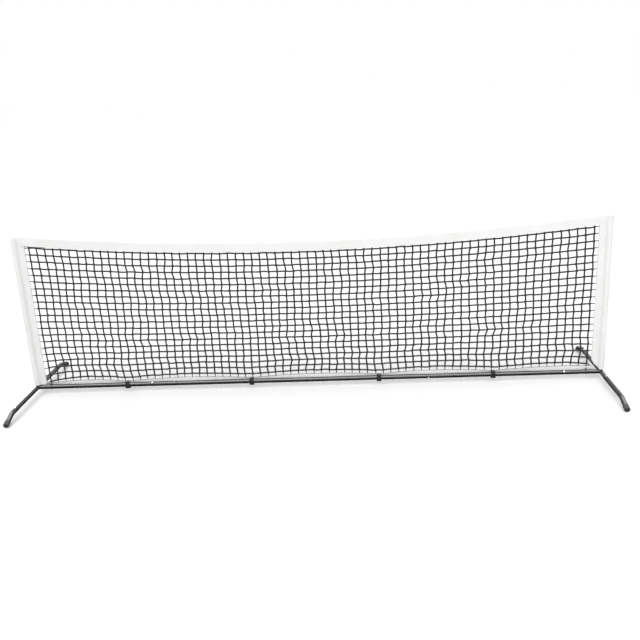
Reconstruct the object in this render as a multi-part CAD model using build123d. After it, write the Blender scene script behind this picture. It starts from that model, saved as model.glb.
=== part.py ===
"""Portable half-court net for paddle sports, in millimetres.

A slip-together steel tube frame (two T-shaped feet, a four-section base rail and two posts, all
locked by sprung snap buttons) carries a knotted net with white bindings, a head cord, two corner
ties and four hook-and-loop straps. X runs along the net, Y from front to back and Z up. The
origin is on the ground under the middle of the net.
"""
import os
from math import atan, cos, degrees, radians, sin, tan

from build123d import *

# Overall
POST_SPACING = 3160.0  # from post axis to post axis
NET_HEIGHT = 914.0  # top of the net at the posts
NET_SAG = 80.0  # how far the top edge hangs down at the middle

# Tube stock and slip joints
TUBE_RADIUS = 12.5
TUBE_WALL = 1.2
SLIP_CLEARANCE = 0.15  # radial, between a swaged end and the tube over it
SWAGE_LENGTH = 6.0  # cone from full size down to the swaged end
MOUTH_GAP = 0.3  # between a tube's mouth and the shoulder it stops at

# Base rail
STUB_LENGTH = 60.0  # rail stub on each foot, from the post axis to its shoulder
END_SECTION_LENGTH = 742.0  # first and last rail section; the middle two share the rest
RAIL_INSERT = 165.0  # swaged end inside the next tube
RAIL_BUTTON_DEPTH = 140.0  # from a rail tube's mouth to its button hole
RAIL_BUTTON_ANGLES = (60.0, 180.0, -25.0)  # round the rail, up from the front, at the three seams
STUB_BUTTON_ANGLE = 145.0  # on the left foot's stub; the right foot is the same part turned round

# Feet
LONG_ARM_MOUTH = 285.0  # rail axis to the mouth of the short bent tip
SHORT_ARM_MOUTH = 83.0  # rail axis to the mouth of the long bent leg
ARM_BUTTON_DEPTH = 16.0  # from a leg's mouth to its button hole
ARM_INSERT = 42.0  # arm inside a leg
BEND_DISTANCE = 342.0  # rail axis to the corner of the bend
BEND_ANGLE = 19.0
BEND_RADIUS = 80.0
TIP_LENGTH = 90.0  # corner of the bend to the end of the tube

# Rubber foot caps
CAP_RISE = 2.0  # how far a cap stands out past the tube
CAP_LENGTH = 30.0
CAP_END_WALL = 3.5
CAP_EDGE_RADIUS = 2.5
CAP_FLAT_DEPTH = 1.2  # rubber pressed flat where the cap stands on the ground
CAP_CLEARANCE = 0.1

# Posts
POST_MOUTH_RISE = 1.0  # above the top of the cross tube
POST_BUTTON_DEPTH = 12.0  # from the post's mouth to its button hole
SPIGOT_HEIGHT = 95.0  # top of the foot's spigot above the rail axis
POST_CAP_THICKNESS = 3.0
POST_CAP_RISE = 0.7  # how far it stands out past the post
POST_PLUG_LENGTH = 18.0
POST_PLUG_CLEARANCE = 0.2

# Snap buttons and their springs
BUTTON_RADIUS = 4.5
BUTTON_PROUD = 3.0  # above the outer tube
BUTTON_EDGE_RADIUS = 1.8
BUTTON_HOLE_CLEARANCE = 0.3
BUTTON_FLANGE_RADIUS = 5.6
BUTTON_FLANGE_THICKNESS = 1.4
BUTTON_FLANGE_CLEARANCE = 0.4  # flange to the swaged tube's bore
PRESS_MARGIN = 0.15  # a pressed button ends this far below the swaged tube's surface
SPRING_STRIP = 0.7
SPRING_WIDTH = 8.0
SPRING_REACH = 36.0  # button axis to the fold
SPRING_TAIL = 6.0  # past the button axis
SPRING_FOLD_RADIUS = 3.0
SPRING_CLEARANCE = 0.3

# Net and its bindings
PANEL_THICKNESS = 1.6  # stands for the layer of knotted cords
TOP_BAND_HEIGHT = 50.0
TOP_BAND_THICKNESS = 3.0
SLEEVE_WALL = 1.2
SLEEVE_REACH = 53.0  # post axis to the sleeve's inner edge
SLEEVE_WEB_THICKNESS = 6.4
SLEEVE_BOTTOM = 16.0  # above the rail axis
WEB_CUTS = {"left": 0.0, "right": 51.0}  # how far a web's lower edge rises towards the net
HEAD_CORD_RADIUS = 2.0
CLOTH_GAP = 0.4  # between soft pieces, and between them and the tubes
BOTTOM_BAND_THICKNESS = 2.4
BOTTOM_BAND_LIFT = 5.0  # band's lower edge above the rail at a strap
BOTTOM_BAND_HEIGHT = 12.0
BOTTOM_BAND_RISE = 9.0  # how far the band arches up between two straps
STRAP_PLACES = (-0.671, -0.223, 0.23, 0.629)  # along the rail, as parts of half its span
STRAP_WIDTH = 25.0
STRAP_THICKNESS = 3.0
STRAP_BULGE_RADIUS = 6.0  # overlap of the strap behind the rail
TIE_RADIUS = 1.4
TIE_POSITION = 80.0  # from the post axis along the rail
TIE_HEIGHT = 46.0  # top of the tie above the rail axis

# What follows from them
BORE_RADIUS = TUBE_RADIUS - TUBE_WALL
SWAGE_RADIUS = BORE_RADIUS - SLIP_CLEARANCE
SWAGE_BORE = SWAGE_RADIUS - TUBE_WALL
BEND_SLOPE = radians(BEND_ANGLE)
CAP_RADIUS = TUBE_RADIUS + CAP_RISE
POST_CAP_RADIUS = TUBE_RADIUS + POST_CAP_RISE
POST_MOUTH_HEIGHT = TUBE_RADIUS + POST_MOUTH_RISE
TIP_DROP = TIP_LENGTH * sin(BEND_SLOPE)
TIP_END = (0, -BEND_DISTANCE - TIP_LENGTH * cos(BEND_SLOPE), -TIP_DROP)
CAP_LOWEST = (
    (CAP_END_WALL - CAP_EDGE_RADIUS) * sin(BEND_SLOPE)
    + (CAP_RADIUS - CAP_EDGE_RADIUS) * cos(BEND_SLOPE)
    + CAP_EDGE_RADIUS
)
RAIL_HEIGHT = TIP_DROP + CAP_LOWEST - CAP_FLAT_DEPTH
HALF_SPACING = POST_SPACING / 2
STRAP_POSITIONS = [place * HALF_SPACING for place in STRAP_PLACES]
MIDDLE_SECTION_LENGTH = HALF_SPACING - STUB_LENGTH - END_SECTION_LENGTH
BUTTON_TOP = TUBE_RADIUS + BUTTON_PROUD
BUTTON_TRAVEL = BUTTON_TOP - SWAGE_RADIUS + PRESS_MARGIN
FLANGE_TOP = (SWAGE_BORE**2 - BUTTON_FLANGE_RADIUS**2) ** 0.5 - BUTTON_FLANGE_CLEARANCE
FLANGE_BOTTOM = FLANGE_TOP - BUTTON_FLANGE_THICKNESS
CORD_EYE_RADIUS = TUBE_RADIUS + CLOTH_GAP + HEAD_CORD_RADIUS
CORD_RUN = SLEEVE_REACH - CORD_EYE_RADIUS  # head cord inside a sleeve, before its eye
SLEEVE_BORE = CORD_EYE_RADIUS + HEAD_CORD_RADIUS + CLOTH_GAP
WEB_EDGE = HALF_SPACING - SLEEVE_REACH
PANEL_EDGE = WEB_EDGE - CLOTH_GAP
HEAD_CORD_HEIGHT = NET_HEIGHT - TOP_BAND_HEIGHT - CLOTH_GAP - HEAD_CORD_RADIUS
CORD_SLOPE = 2 * atan(NET_SAG / WEB_EDGE)  # of the head cord where it enters a sleeve
CORD_EYE_HEIGHT = HEAD_CORD_HEIGHT + CORD_RUN * tan(CORD_SLOPE)
PANEL_TOP = HEAD_CORD_HEIGHT - HEAD_CORD_RADIUS - CLOTH_GAP
BAND_BOTTOM = RAIL_HEIGHT + TUBE_RADIUS + BOTTOM_BAND_LIFT
BAND_TOP = BAND_BOTTOM + BOTTOM_BAND_HEIGHT
PANEL_BOTTOM = BAND_TOP + CLOTH_GAP
POST_TOP = NET_HEIGHT - SLEEVE_WALL - CLOTH_GAP - POST_CAP_THICKNESS

LEFT_FOOT = Location((-HALF_SPACING, 0, RAIL_HEIGHT))
RIGHT_FOOT = Location((HALF_SPACING, 0, RAIL_HEIGHT), (0, 0, 180))
TO_FRONT = Rotation(0, 0, -90)  # turns a shape along +X to -Y
TO_BACK = Rotation(0, 0, 90)
UPRIGHT = Rotation(0, -90, 0)  # turns a shape along +X to +Z
TURN_ROUND = Rotation(0, 0, 180)


def turned(points):
    """A solid of revolution about the X axis, from (x, radius) points."""
    return revolve(make_face(Polyline(*points, close=True)), Axis.X)


def plain_tube(start, end, radius=TUBE_RADIUS):
    """A straight tube along X."""
    bore = radius - TUBE_WALL
    return turned([(start, radius), (end, radius), (end, bore), (start, bore)])


def rod(start, end, radius):
    """A straight solid rod along X."""
    return turned([(start, 0), (start, radius), (end, radius), (end, 0)])


def swaged_tube(start, end):
    """A rail section: full size from start to end, with its swaged end before start."""
    tip, cone = start - RAIL_INSERT, start + SWAGE_LENGTH
    outside = [(tip, SWAGE_RADIUS), (start, SWAGE_RADIUS), (cone, TUBE_RADIUS), (end, TUBE_RADIUS)]
    inside = [(end, BORE_RADIUS), (cone, BORE_RADIUS), (start, SWAGE_BORE), (tip, SWAGE_BORE)]
    return turned(outside + inside)


def snap_plane(along, direction, to_fold):
    """Where a snap button sits: its origin on the tube's axis, Z out through the button.

    along is the point on the tube's axis, direction the button's and to_fold the way to the
    fold of its spring, both as vectors.
    """
    return Plane(origin=along, x_dir=to_fold, z_dir=direction).location


def snap_button():
    """The button with the flange that stops it inside the swaged tube."""
    stem_height = BUTTON_TOP - FLANGE_TOP
    stem = Pos(0, 0, FLANGE_TOP + stem_height / 2) * Cylinder(BUTTON_RADIUS, stem_height)
    stem = fillet(stem.edges().group_by(Axis.Z)[-1], BUTTON_EDGE_RADIUS)
    flange_middle = FLANGE_TOP - BUTTON_FLANGE_THICKNESS / 2
    flange = Cylinder(BUTTON_FLANGE_RADIUS, BUTTON_FLANGE_THICKNESS)
    return stem + Pos(0, 0, flange_middle) * flange


def snap_spring():
    """A folded strip: one arm on the far wall, the other under the button's flange."""
    half_strip = SPRING_STRIP / 2
    far_wall = (SWAGE_BORE**2 - (SPRING_WIDTH / 2) ** 2) ** 0.5 - SPRING_CLEARANCE - half_strip
    near_arm = FLANGE_BOTTOM - SPRING_CLEARANCE - half_strip
    path = FilletPolyline(
        (-SPRING_TAIL, 0, -far_wall),
        (SPRING_REACH, 0, -far_wall),
        (SPRING_REACH, 0, -far_wall + 3 * SPRING_FOLD_RADIUS),
        (-SPRING_TAIL, 0, near_arm),
        radius=SPRING_FOLD_RADIUS,
    )
    strip = Plane(origin=path @ 0, x_dir=(0, 1, 0), z_dir=path % 0) * Rectangle(SPRING_WIDTH, SPRING_STRIP)
    return sweep(strip, path)


def button_hole(clearance=BUTTON_HOLE_CLEARANCE):
    """The cutter for a button's hole through one side of a tube."""
    reach = 2 * TUBE_RADIUS
    return Pos(0, 0, reach / 2) * Cylinder(BUTTON_RADIUS + clearance, reach)


def around_x(degrees):
    """The direction at an angle round the X axis, up from the front."""
    return (0, -cos(radians(degrees)), sin(radians(degrees)))


def bent_leg(mouth):
    """A leg towards the front, from its mouth over the bend to its end, in the foot's frame."""
    path = FilletPolyline((0, -mouth, 0), (0, -BEND_DISTANCE, 0), TIP_END, radius=BEND_RADIUS)
    section = Plane(origin=path @ 0, z_dir=path % 0) * (Circle(TUBE_RADIUS) - Circle(BORE_RADIUS))
    return sweep(section, path)


def foot_cap():
    """The rubber cap on a front leg's end, flat on the ground, in the foot's frame."""
    outside = rod(CAP_END_WALL - CAP_LENGTH, CAP_END_WALL, CAP_RADIUS)
    outside = fillet(outside.edges().group_by(Axis.X)[-1], CAP_EDGE_RADIUS)
    bore = rod(-CAP_LENGTH, CAP_CLEARANCE, TUBE_RADIUS + CAP_CLEARANCE)
    downhill = (0, -cos(BEND_SLOPE), -sin(BEND_SLOPE))
    placed = Plane(origin=TIP_END, x_dir=downhill, z_dir=(1, 0, 0)).location
    below = Box(1000, 2000, 100, align=(Align.CENTER, Align.CENTER, Align.MAX))
    return placed * (outside - bore) - Pos(0, 0, -RAIL_HEIGHT) * below


def foot_snaps():
    """The four button places of a foot: long arm, short arm, rail stub and post."""
    long_arm = LONG_ARM_MOUTH + ARM_BUTTON_DEPTH
    short_arm = SHORT_ARM_MOUTH + ARM_BUTTON_DEPTH
    stub = STUB_LENGTH + RAIL_BUTTON_DEPTH
    post = POST_MOUTH_HEIGHT + POST_BUTTON_DEPTH
    return {
        "tip": snap_plane((0, -long_arm, 0), (0, 0, 1), (0, 1, 0)),
        "leg": snap_plane((0, short_arm, 0), (0, 0, 1), (0, -1, 0)),
        "rail": snap_plane((stub, 0, 0), around_x(STUB_BUTTON_ANGLE), (-1, 0, 0)),
        "post": snap_plane((0, 0, post), (-1, 0, 0), (0, 0, 1)),
    }


def foot_hub():
    """The welded foot: a cross tube with two arms, the rail's stub and the post's spigot."""
    long_end = LONG_ARM_MOUTH + ARM_INSERT
    short_end = SHORT_ARM_MOUTH + ARM_INSERT
    stub_end = STUB_LENGTH + RAIL_INSERT
    shoulder = STUB_LENGTH - SWAGE_LENGTH
    stub = turned(
        [(0, 0), (0, TUBE_RADIUS), (shoulder, TUBE_RADIUS), (STUB_LENGTH, SWAGE_RADIUS)]
        + [(stub_end, SWAGE_RADIUS), (stub_end, 0)]
    )
    solid = TO_FRONT * rod(-short_end, long_end, SWAGE_RADIUS)
    solid += stub
    solid += UPRIGHT * rod(0, SPIGOT_HEIGHT, SWAGE_RADIUS)
    solid -= TO_FRONT * rod(-short_end, long_end, SWAGE_BORE)
    solid -= rod(SWAGE_RADIUS, stub_end, SWAGE_BORE)
    solid -= UPRIGHT * rod(TUBE_RADIUS, SPIGOT_HEIGHT, SWAGE_BORE)
    for place in foot_snaps().values():
        solid -= place * button_hole()
    return solid


def post():
    """A post over the foot's spigot, in the foot's frame."""
    solid = UPRIGHT * plain_tube(POST_MOUTH_HEIGHT, POST_TOP - RAIL_HEIGHT)
    return solid - foot_snaps()["post"] * button_hole()


def post_cap():
    """The plastic cap with its plug in the top of a post, in the foot's frame."""
    top = POST_TOP - RAIL_HEIGHT
    plug = rod(top - POST_PLUG_LENGTH, top, BORE_RADIUS - POST_PLUG_CLEARANCE)
    return UPRIGHT * (plug + rod(top, top + POST_CAP_THICKNESS, POST_CAP_RADIUS))


def upright_sheet(edges, thickness):
    """A plate in the net's plane from its outline's edges, given as (x, z) curves."""
    return extrude(Plane.XZ * make_face(edges), amount=thickness / 2, both=True)


def sagging_edge(height, half_width):
    """The net's top line at a height: one arc, lower by the sag at the middle."""
    return ThreePointArc((-half_width, height), (0, height - NET_SAG), (half_width, height))


def scalloped_edge(height, half_width):
    """The net's lower line: pulled down at each strap and arched between them."""
    held = [-half_width, *STRAP_POSITIONS, half_width]
    return [
        ThreePointArc((a, height), ((a + b) / 2, height + BOTTOM_BAND_RISE), (b, height))
        for a, b in zip(held, held[1:])
    ]


def side_edges(low, high, half_width):
    """The two upright ends of a plate in the net's plane."""
    return [Line((x, low), (x, high)) for x in (-half_width, half_width)]


def net_sleeve(cut):
    """The sleeve over a post: a pocket closed at its top and a flat web towards the net.

    cut is how far the web's lower edge rises from the post's axis to its inner edge.
    """
    low, high = RAIL_HEIGHT + SLEEVE_BOTTOM, NET_HEIGHT
    height = high - low
    pocket = Pos(0, 0, low) * Cylinder(
        SLEEVE_BORE + SLEEVE_WALL, height, align=(Align.CENTER, Align.CENTER, Align.MIN)
    )
    web_corners = [(0, low), (SLEEVE_REACH, low + cut), (SLEEVE_REACH, high), (0, high)]
    web = upright_sheet([Polyline(*web_corners, close=True)], SLEEVE_WEB_THICKNESS)
    hollow = Pos(0, 0, low) * Cylinder(
        SLEEVE_BORE, height - SLEEVE_WALL, align=(Align.CENTER, Align.CENTER, Align.MIN)
    )
    cord_way = rod(-SLEEVE_REACH, SLEEVE_REACH, HEAD_CORD_RADIUS + CLOTH_GAP)
    cord_way = Pos(SLEEVE_REACH, 0, HEAD_CORD_HEIGHT) * Rotation(0, degrees(CORD_SLOPE), 0) * cord_way
    return pocket + web - hollow - cord_way


def head_cord():
    """The cord along the net's top row, straight on into the sleeves to an eye round each post."""
    eye_x = HALF_SPACING - CORD_EYE_RADIUS
    line = [
        Line((-eye_x, CORD_EYE_HEIGHT), (-WEB_EDGE, HEAD_CORD_HEIGHT)),
        sagging_edge(HEAD_CORD_HEIGHT, WEB_EDGE),
        Line((WEB_EDGE, HEAD_CORD_HEIGHT), (eye_x, CORD_EYE_HEIGHT)),
    ]
    path = Plane.XZ * Wire(line)
    cord = sweep(Plane(origin=path @ 0, z_dir=path % 0) * Circle(HEAD_CORD_RADIUS), path)
    eye = Torus(CORD_EYE_RADIUS, HEAD_CORD_RADIUS)
    return cord + [Pos(side * HALF_SPACING, 0, CORD_EYE_HEIGHT) * eye for side in (-1, 1)]


def strap(x):
    """A strap round the rail, doubled at its overlap behind the rail."""
    inner = TUBE_RADIUS + CLOTH_GAP
    middle = Plane(origin=(x, 0, RAIL_HEIGHT), x_dir=(0, 1, 0), z_dir=(1, 0, 0))
    loop = Circle(inner + STRAP_THICKNESS)
    overlap = Pos(TUBE_RADIUS, 0) * Circle(STRAP_BULGE_RADIUS)
    return extrude(middle * (loop + overlap - Circle(inner)), amount=STRAP_WIDTH / 2, both=True)


def corner_tie(side):
    """The cord that ties the net's lower corner to the rail."""
    eye_radius = TUBE_RADIUS + CLOTH_GAP + TIE_RADIUS
    x = side * (HALF_SPACING - TIE_POSITION)
    eye = Rotation(0, 90, 0) * Torus(eye_radius, TIE_RADIUS)
    y = -(BOTTOM_BAND_THICKNESS / 2 + CLOTH_GAP + TIE_RADIUS)
    low = (eye_radius**2 - y**2) ** 0.5
    upright = Pos(0, y, 0) * UPRIGHT * rod(low, TIE_HEIGHT, TIE_RADIUS)
    return Pos(x, 0, RAIL_HEIGHT) * (eye + upright)


def rail_parts():
    """The four rail sections, and the buttons and springs of the three seams between them."""
    lengths = [END_SECTION_LENGTH, MIDDLE_SECTION_LENGTH, MIDDLE_SECTION_LENGTH, END_SECTION_LENGTH]
    seams = [-HALF_SPACING + STUB_LENGTH]
    for length in lengths:
        seams.append(seams[-1] + length)
    places = [
        snap_plane((seam - RAIL_BUTTON_DEPTH, 0, 0), around_x(angle), (1, 0, 0))
        for seam, angle in zip(seams[1:-1], RAIL_BUTTON_ANGLES)
    ]
    stub_places = [
        Location((-HALF_SPACING, 0, 0)) * foot_snaps()["rail"],
        Location((HALF_SPACING, 0, 0), (0, 0, 180)) * foot_snaps()["rail"],
    ]
    sections = [plain_tube(seams[0] + MOUTH_GAP, seams[1] - MOUTH_GAP)]
    sections += [swaged_tube(a, b - MOUTH_GAP) for a, b in zip(seams[1:], seams[2:])]
    holes = [place * button_hole() for place in stub_places[:1] + places + stub_places[1:]]
    for i, section in enumerate(sections):
        for hole in holes[max(i - 1, 0) : i + 2]:
            section -= hole
        sections[i] = section
    lift = Pos(0, 0, RAIL_HEIGHT)
    nodes = {f"rail_section_{i + 1}": lift * section for i, section in enumerate(sections)}
    for i, place in enumerate(places):
        nodes[f"rail_button_{i + 1}"] = lift * place * snap_button()
    return nodes, [lift * place * snap_spring() for place in places]


def foot_parts(side, foot, long_end, short_end):
    """One foot's nodes. long_end and short_end say which way its long and short arms point."""
    snaps = foot_snaps()
    tip = bent_leg(LONG_ARM_MOUTH) - snaps["tip"] * button_hole()
    leg = TURN_ROUND * bent_leg(SHORT_ARM_MOUTH) - snaps["leg"] * button_hole()
    pieces = {
        f"{side}_foot_hub": foot_hub(),
        f"{side}_{long_end}_tip": tip,
        f"{side}_{short_end}_leg": leg,
        f"{side}_{long_end}_foot_cap": foot_cap(),
        f"{side}_{short_end}_foot_cap": TURN_ROUND * foot_cap(),
        f"{side}_post": post(),
        f"{side}_post_cap": post_cap(),
        f"{side}_{long_end}_tip_button": snaps["tip"] * snap_button(),
        f"{side}_{short_end}_leg_button": snaps["leg"] * snap_button(),
        f"{side}_stub_button": snaps["rail"] * snap_button(),
        f"{side}_post_button": snaps["post"] * snap_button(),
    }
    springs = {name: foot * place * snap_spring() for name, place in snaps.items()}
    return {name: foot * piece for name, piece in pieces.items()}, springs


def net_parts():
    """The net's panel, its bindings, cord, ties and straps."""
    top = NET_HEIGHT - TOP_BAND_HEIGHT
    band_edges = [sagging_edge(NET_HEIGHT, PANEL_EDGE), sagging_edge(top, PANEL_EDGE)]
    band_edges += side_edges(top, NET_HEIGHT, PANEL_EDGE)
    panel_edges = [sagging_edge(PANEL_TOP, PANEL_EDGE), *scalloped_edge(PANEL_BOTTOM, PANEL_EDGE)]
    panel_edges += side_edges(PANEL_BOTTOM, PANEL_TOP, PANEL_EDGE)
    hem_edges = [*scalloped_edge(BAND_BOTTOM, PANEL_EDGE), *scalloped_edge(BAND_TOP, PANEL_EDGE)]
    hem_edges += side_edges(BAND_BOTTOM, BAND_TOP, PANEL_EDGE)
    nodes = {
        "net_panel": upright_sheet(panel_edges, PANEL_THICKNESS),
        "top_band": upright_sheet(band_edges, TOP_BAND_THICKNESS),
        "bottom_band": upright_sheet(hem_edges, BOTTOM_BAND_THICKNESS),
        "left_sleeve": Pos(-HALF_SPACING, 0, 0) * net_sleeve(WEB_CUTS["left"]),
        "right_sleeve": Pos(HALF_SPACING, 0, 0) * TURN_ROUND * net_sleeve(WEB_CUTS["right"]),
        "head_cord": head_cord(),
        "left_corner_tie": corner_tie(-1),
        "right_corner_tie": corner_tie(1),
    }
    for i, x in enumerate(STRAP_POSITIONS):
        nodes[f"strap_{i + 1}"] = strap(x)
    return nodes


def main():
    """Builds every node and writes one STEP file for each."""
    nodes, rail_springs = rail_parts()
    left, left_springs = foot_parts("left", LEFT_FOOT, "front", "back")
    right, right_springs = foot_parts("right", RIGHT_FOOT, "back", "front")
    nodes.update(left)
    nodes.update(right)
    nodes.update(net_parts())
    stub_springs = [left_springs["rail"], right_springs["rail"]]
    nodes["rail_springs"] = Compound(children=rail_springs + stub_springs)
    leg_springs = [springs[arm] for springs in (left_springs, right_springs) for arm in ("tip", "leg")]
    nodes["leg_springs"] = Compound(children=leg_springs)
    nodes["post_springs"] = Compound(children=[left_springs["post"], right_springs["post"]])
    os.makedirs("parts", exist_ok=True)
    for name, solid in nodes.items():
        export_step(solid, f"parts/{name}.step")
    print(len(nodes), "nodes; rail axis", round(RAIL_HEIGHT, 2), "button travel", round(BUTTON_TRAVEL, 2))


main()
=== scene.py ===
"""Looks of a portable half-court net for paddle sports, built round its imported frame.

The frame gives every place. X runs along the net, Y from front to back and Z up, in metres. The
tubes, caps, snap buttons and springs are the frame's own nodes with better finishes. The knotted
net, its white bindings, cords, ties and straps are modelled here and stand for their plain nodes.
"""
from __future__ import annotations

import logging
import math
from dataclasses import dataclass
from enum import Enum
from typing import Callable, Iterable, Sequence

import bpy
import numpy as np
from mathutils import Matrix, Vector

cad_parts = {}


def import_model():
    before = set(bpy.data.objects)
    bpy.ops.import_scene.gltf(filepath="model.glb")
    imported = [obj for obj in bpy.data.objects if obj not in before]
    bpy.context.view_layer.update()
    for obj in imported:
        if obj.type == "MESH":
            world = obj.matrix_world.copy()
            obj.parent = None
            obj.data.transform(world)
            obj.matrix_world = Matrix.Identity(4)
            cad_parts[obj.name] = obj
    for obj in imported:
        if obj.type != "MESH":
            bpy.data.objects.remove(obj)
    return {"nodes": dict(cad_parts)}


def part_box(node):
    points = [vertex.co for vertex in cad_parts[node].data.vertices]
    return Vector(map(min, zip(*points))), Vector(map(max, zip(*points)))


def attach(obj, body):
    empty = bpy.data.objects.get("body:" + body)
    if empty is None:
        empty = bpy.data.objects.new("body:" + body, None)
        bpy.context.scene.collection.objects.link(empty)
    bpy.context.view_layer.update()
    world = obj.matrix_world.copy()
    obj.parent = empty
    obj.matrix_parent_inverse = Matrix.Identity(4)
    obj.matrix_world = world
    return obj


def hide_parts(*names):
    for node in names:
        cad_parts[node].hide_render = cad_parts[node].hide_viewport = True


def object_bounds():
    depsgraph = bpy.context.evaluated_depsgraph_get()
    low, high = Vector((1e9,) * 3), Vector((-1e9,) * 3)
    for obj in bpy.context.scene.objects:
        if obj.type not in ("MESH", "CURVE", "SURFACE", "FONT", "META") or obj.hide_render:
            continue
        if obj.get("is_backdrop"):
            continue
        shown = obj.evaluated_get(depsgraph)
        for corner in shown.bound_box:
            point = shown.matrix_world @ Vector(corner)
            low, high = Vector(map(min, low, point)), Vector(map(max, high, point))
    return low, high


LOG = logging.getLogger("portable_net")
FIXED = "frame"  # body of everything that doesn't move
MM = 0.001
ROUND_EDGE = 60.0  # degrees up to which a round piece is shaded smooth
CLOTH_EDGE = 50.0
WEBBING_EDGE = 45.0
RAIL_SECTIONS = range(1, 5)
STRAPS = range(1, 5)
RIGHT_WEB_CUT = 51 * MM  # the slant at the foot of the right sleeve's web

Array = np.ndarray
Piece = bpy.types.Object
Socket = bpy.types.NodeSocket
Pair = tuple[float, float]
Point = tuple[float, float, float]
Colour = tuple[float, float, float]
Place = Callable[[Array, Array], Array]
Seam = tuple[Array, Array]


class Slot(Enum):
    """Finish slots that the new pieces are passed with; nothing in the script reads them."""

    TUBE = "tube"
    WEBBING = "strap_webbing"
    BINDING = "binding"
    NETTING = "netting"
    CORD = "cord"


class End(Enum):
    """The two ends of the net, by the sign of their X."""

    LEFT = -1
    RIGHT = 1

    @property
    def side(self) -> str:
        """The end's name, as the nodes have it."""
        return self.name.lower()


# ---- Lines and waves ----


@dataclass(frozen=True)
class Wave:
    """A shallow wave in a piece of cloth or webbing."""

    size: float
    rate: float  # radians to the metre along the piece
    phase: float = 0.0
    turn: float = 0.0  # radians for each unit across the piece

    def at(self, along: Array, across: float | Array = 0.0) -> Array:
        """The wave's height at places along and across the piece."""
        return self.size * np.sin(self.rate * along + self.turn * across + self.phase)


def ripple(
    waves: Sequence[Wave], along: Array, across: float | Array = 0.0
) -> Array:
    """The height of several waves that lie over each other."""
    return sum(wave.at(along, across) for wave in waves)


def eased(share: Array) -> Array:
    """Eases a share from 0 to 1 in and out."""
    return share * share * (3 - 2 * share)


def run_lengths(line: Array) -> Array:
    """Measures a line, or each of several lines.

    Args:
        line: Points along the line, as (..., points, axes).

    Returns:
        The distance along the line at each of its points.
    """
    span = np.linalg.norm(np.diff(line, axis=-2), axis=-1)
    return np.concatenate([np.zeros((*span.shape[:-1], 1)), np.cumsum(span, axis=-1)], axis=-1)


# ---- Workshop: small modelling helpers ----


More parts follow.
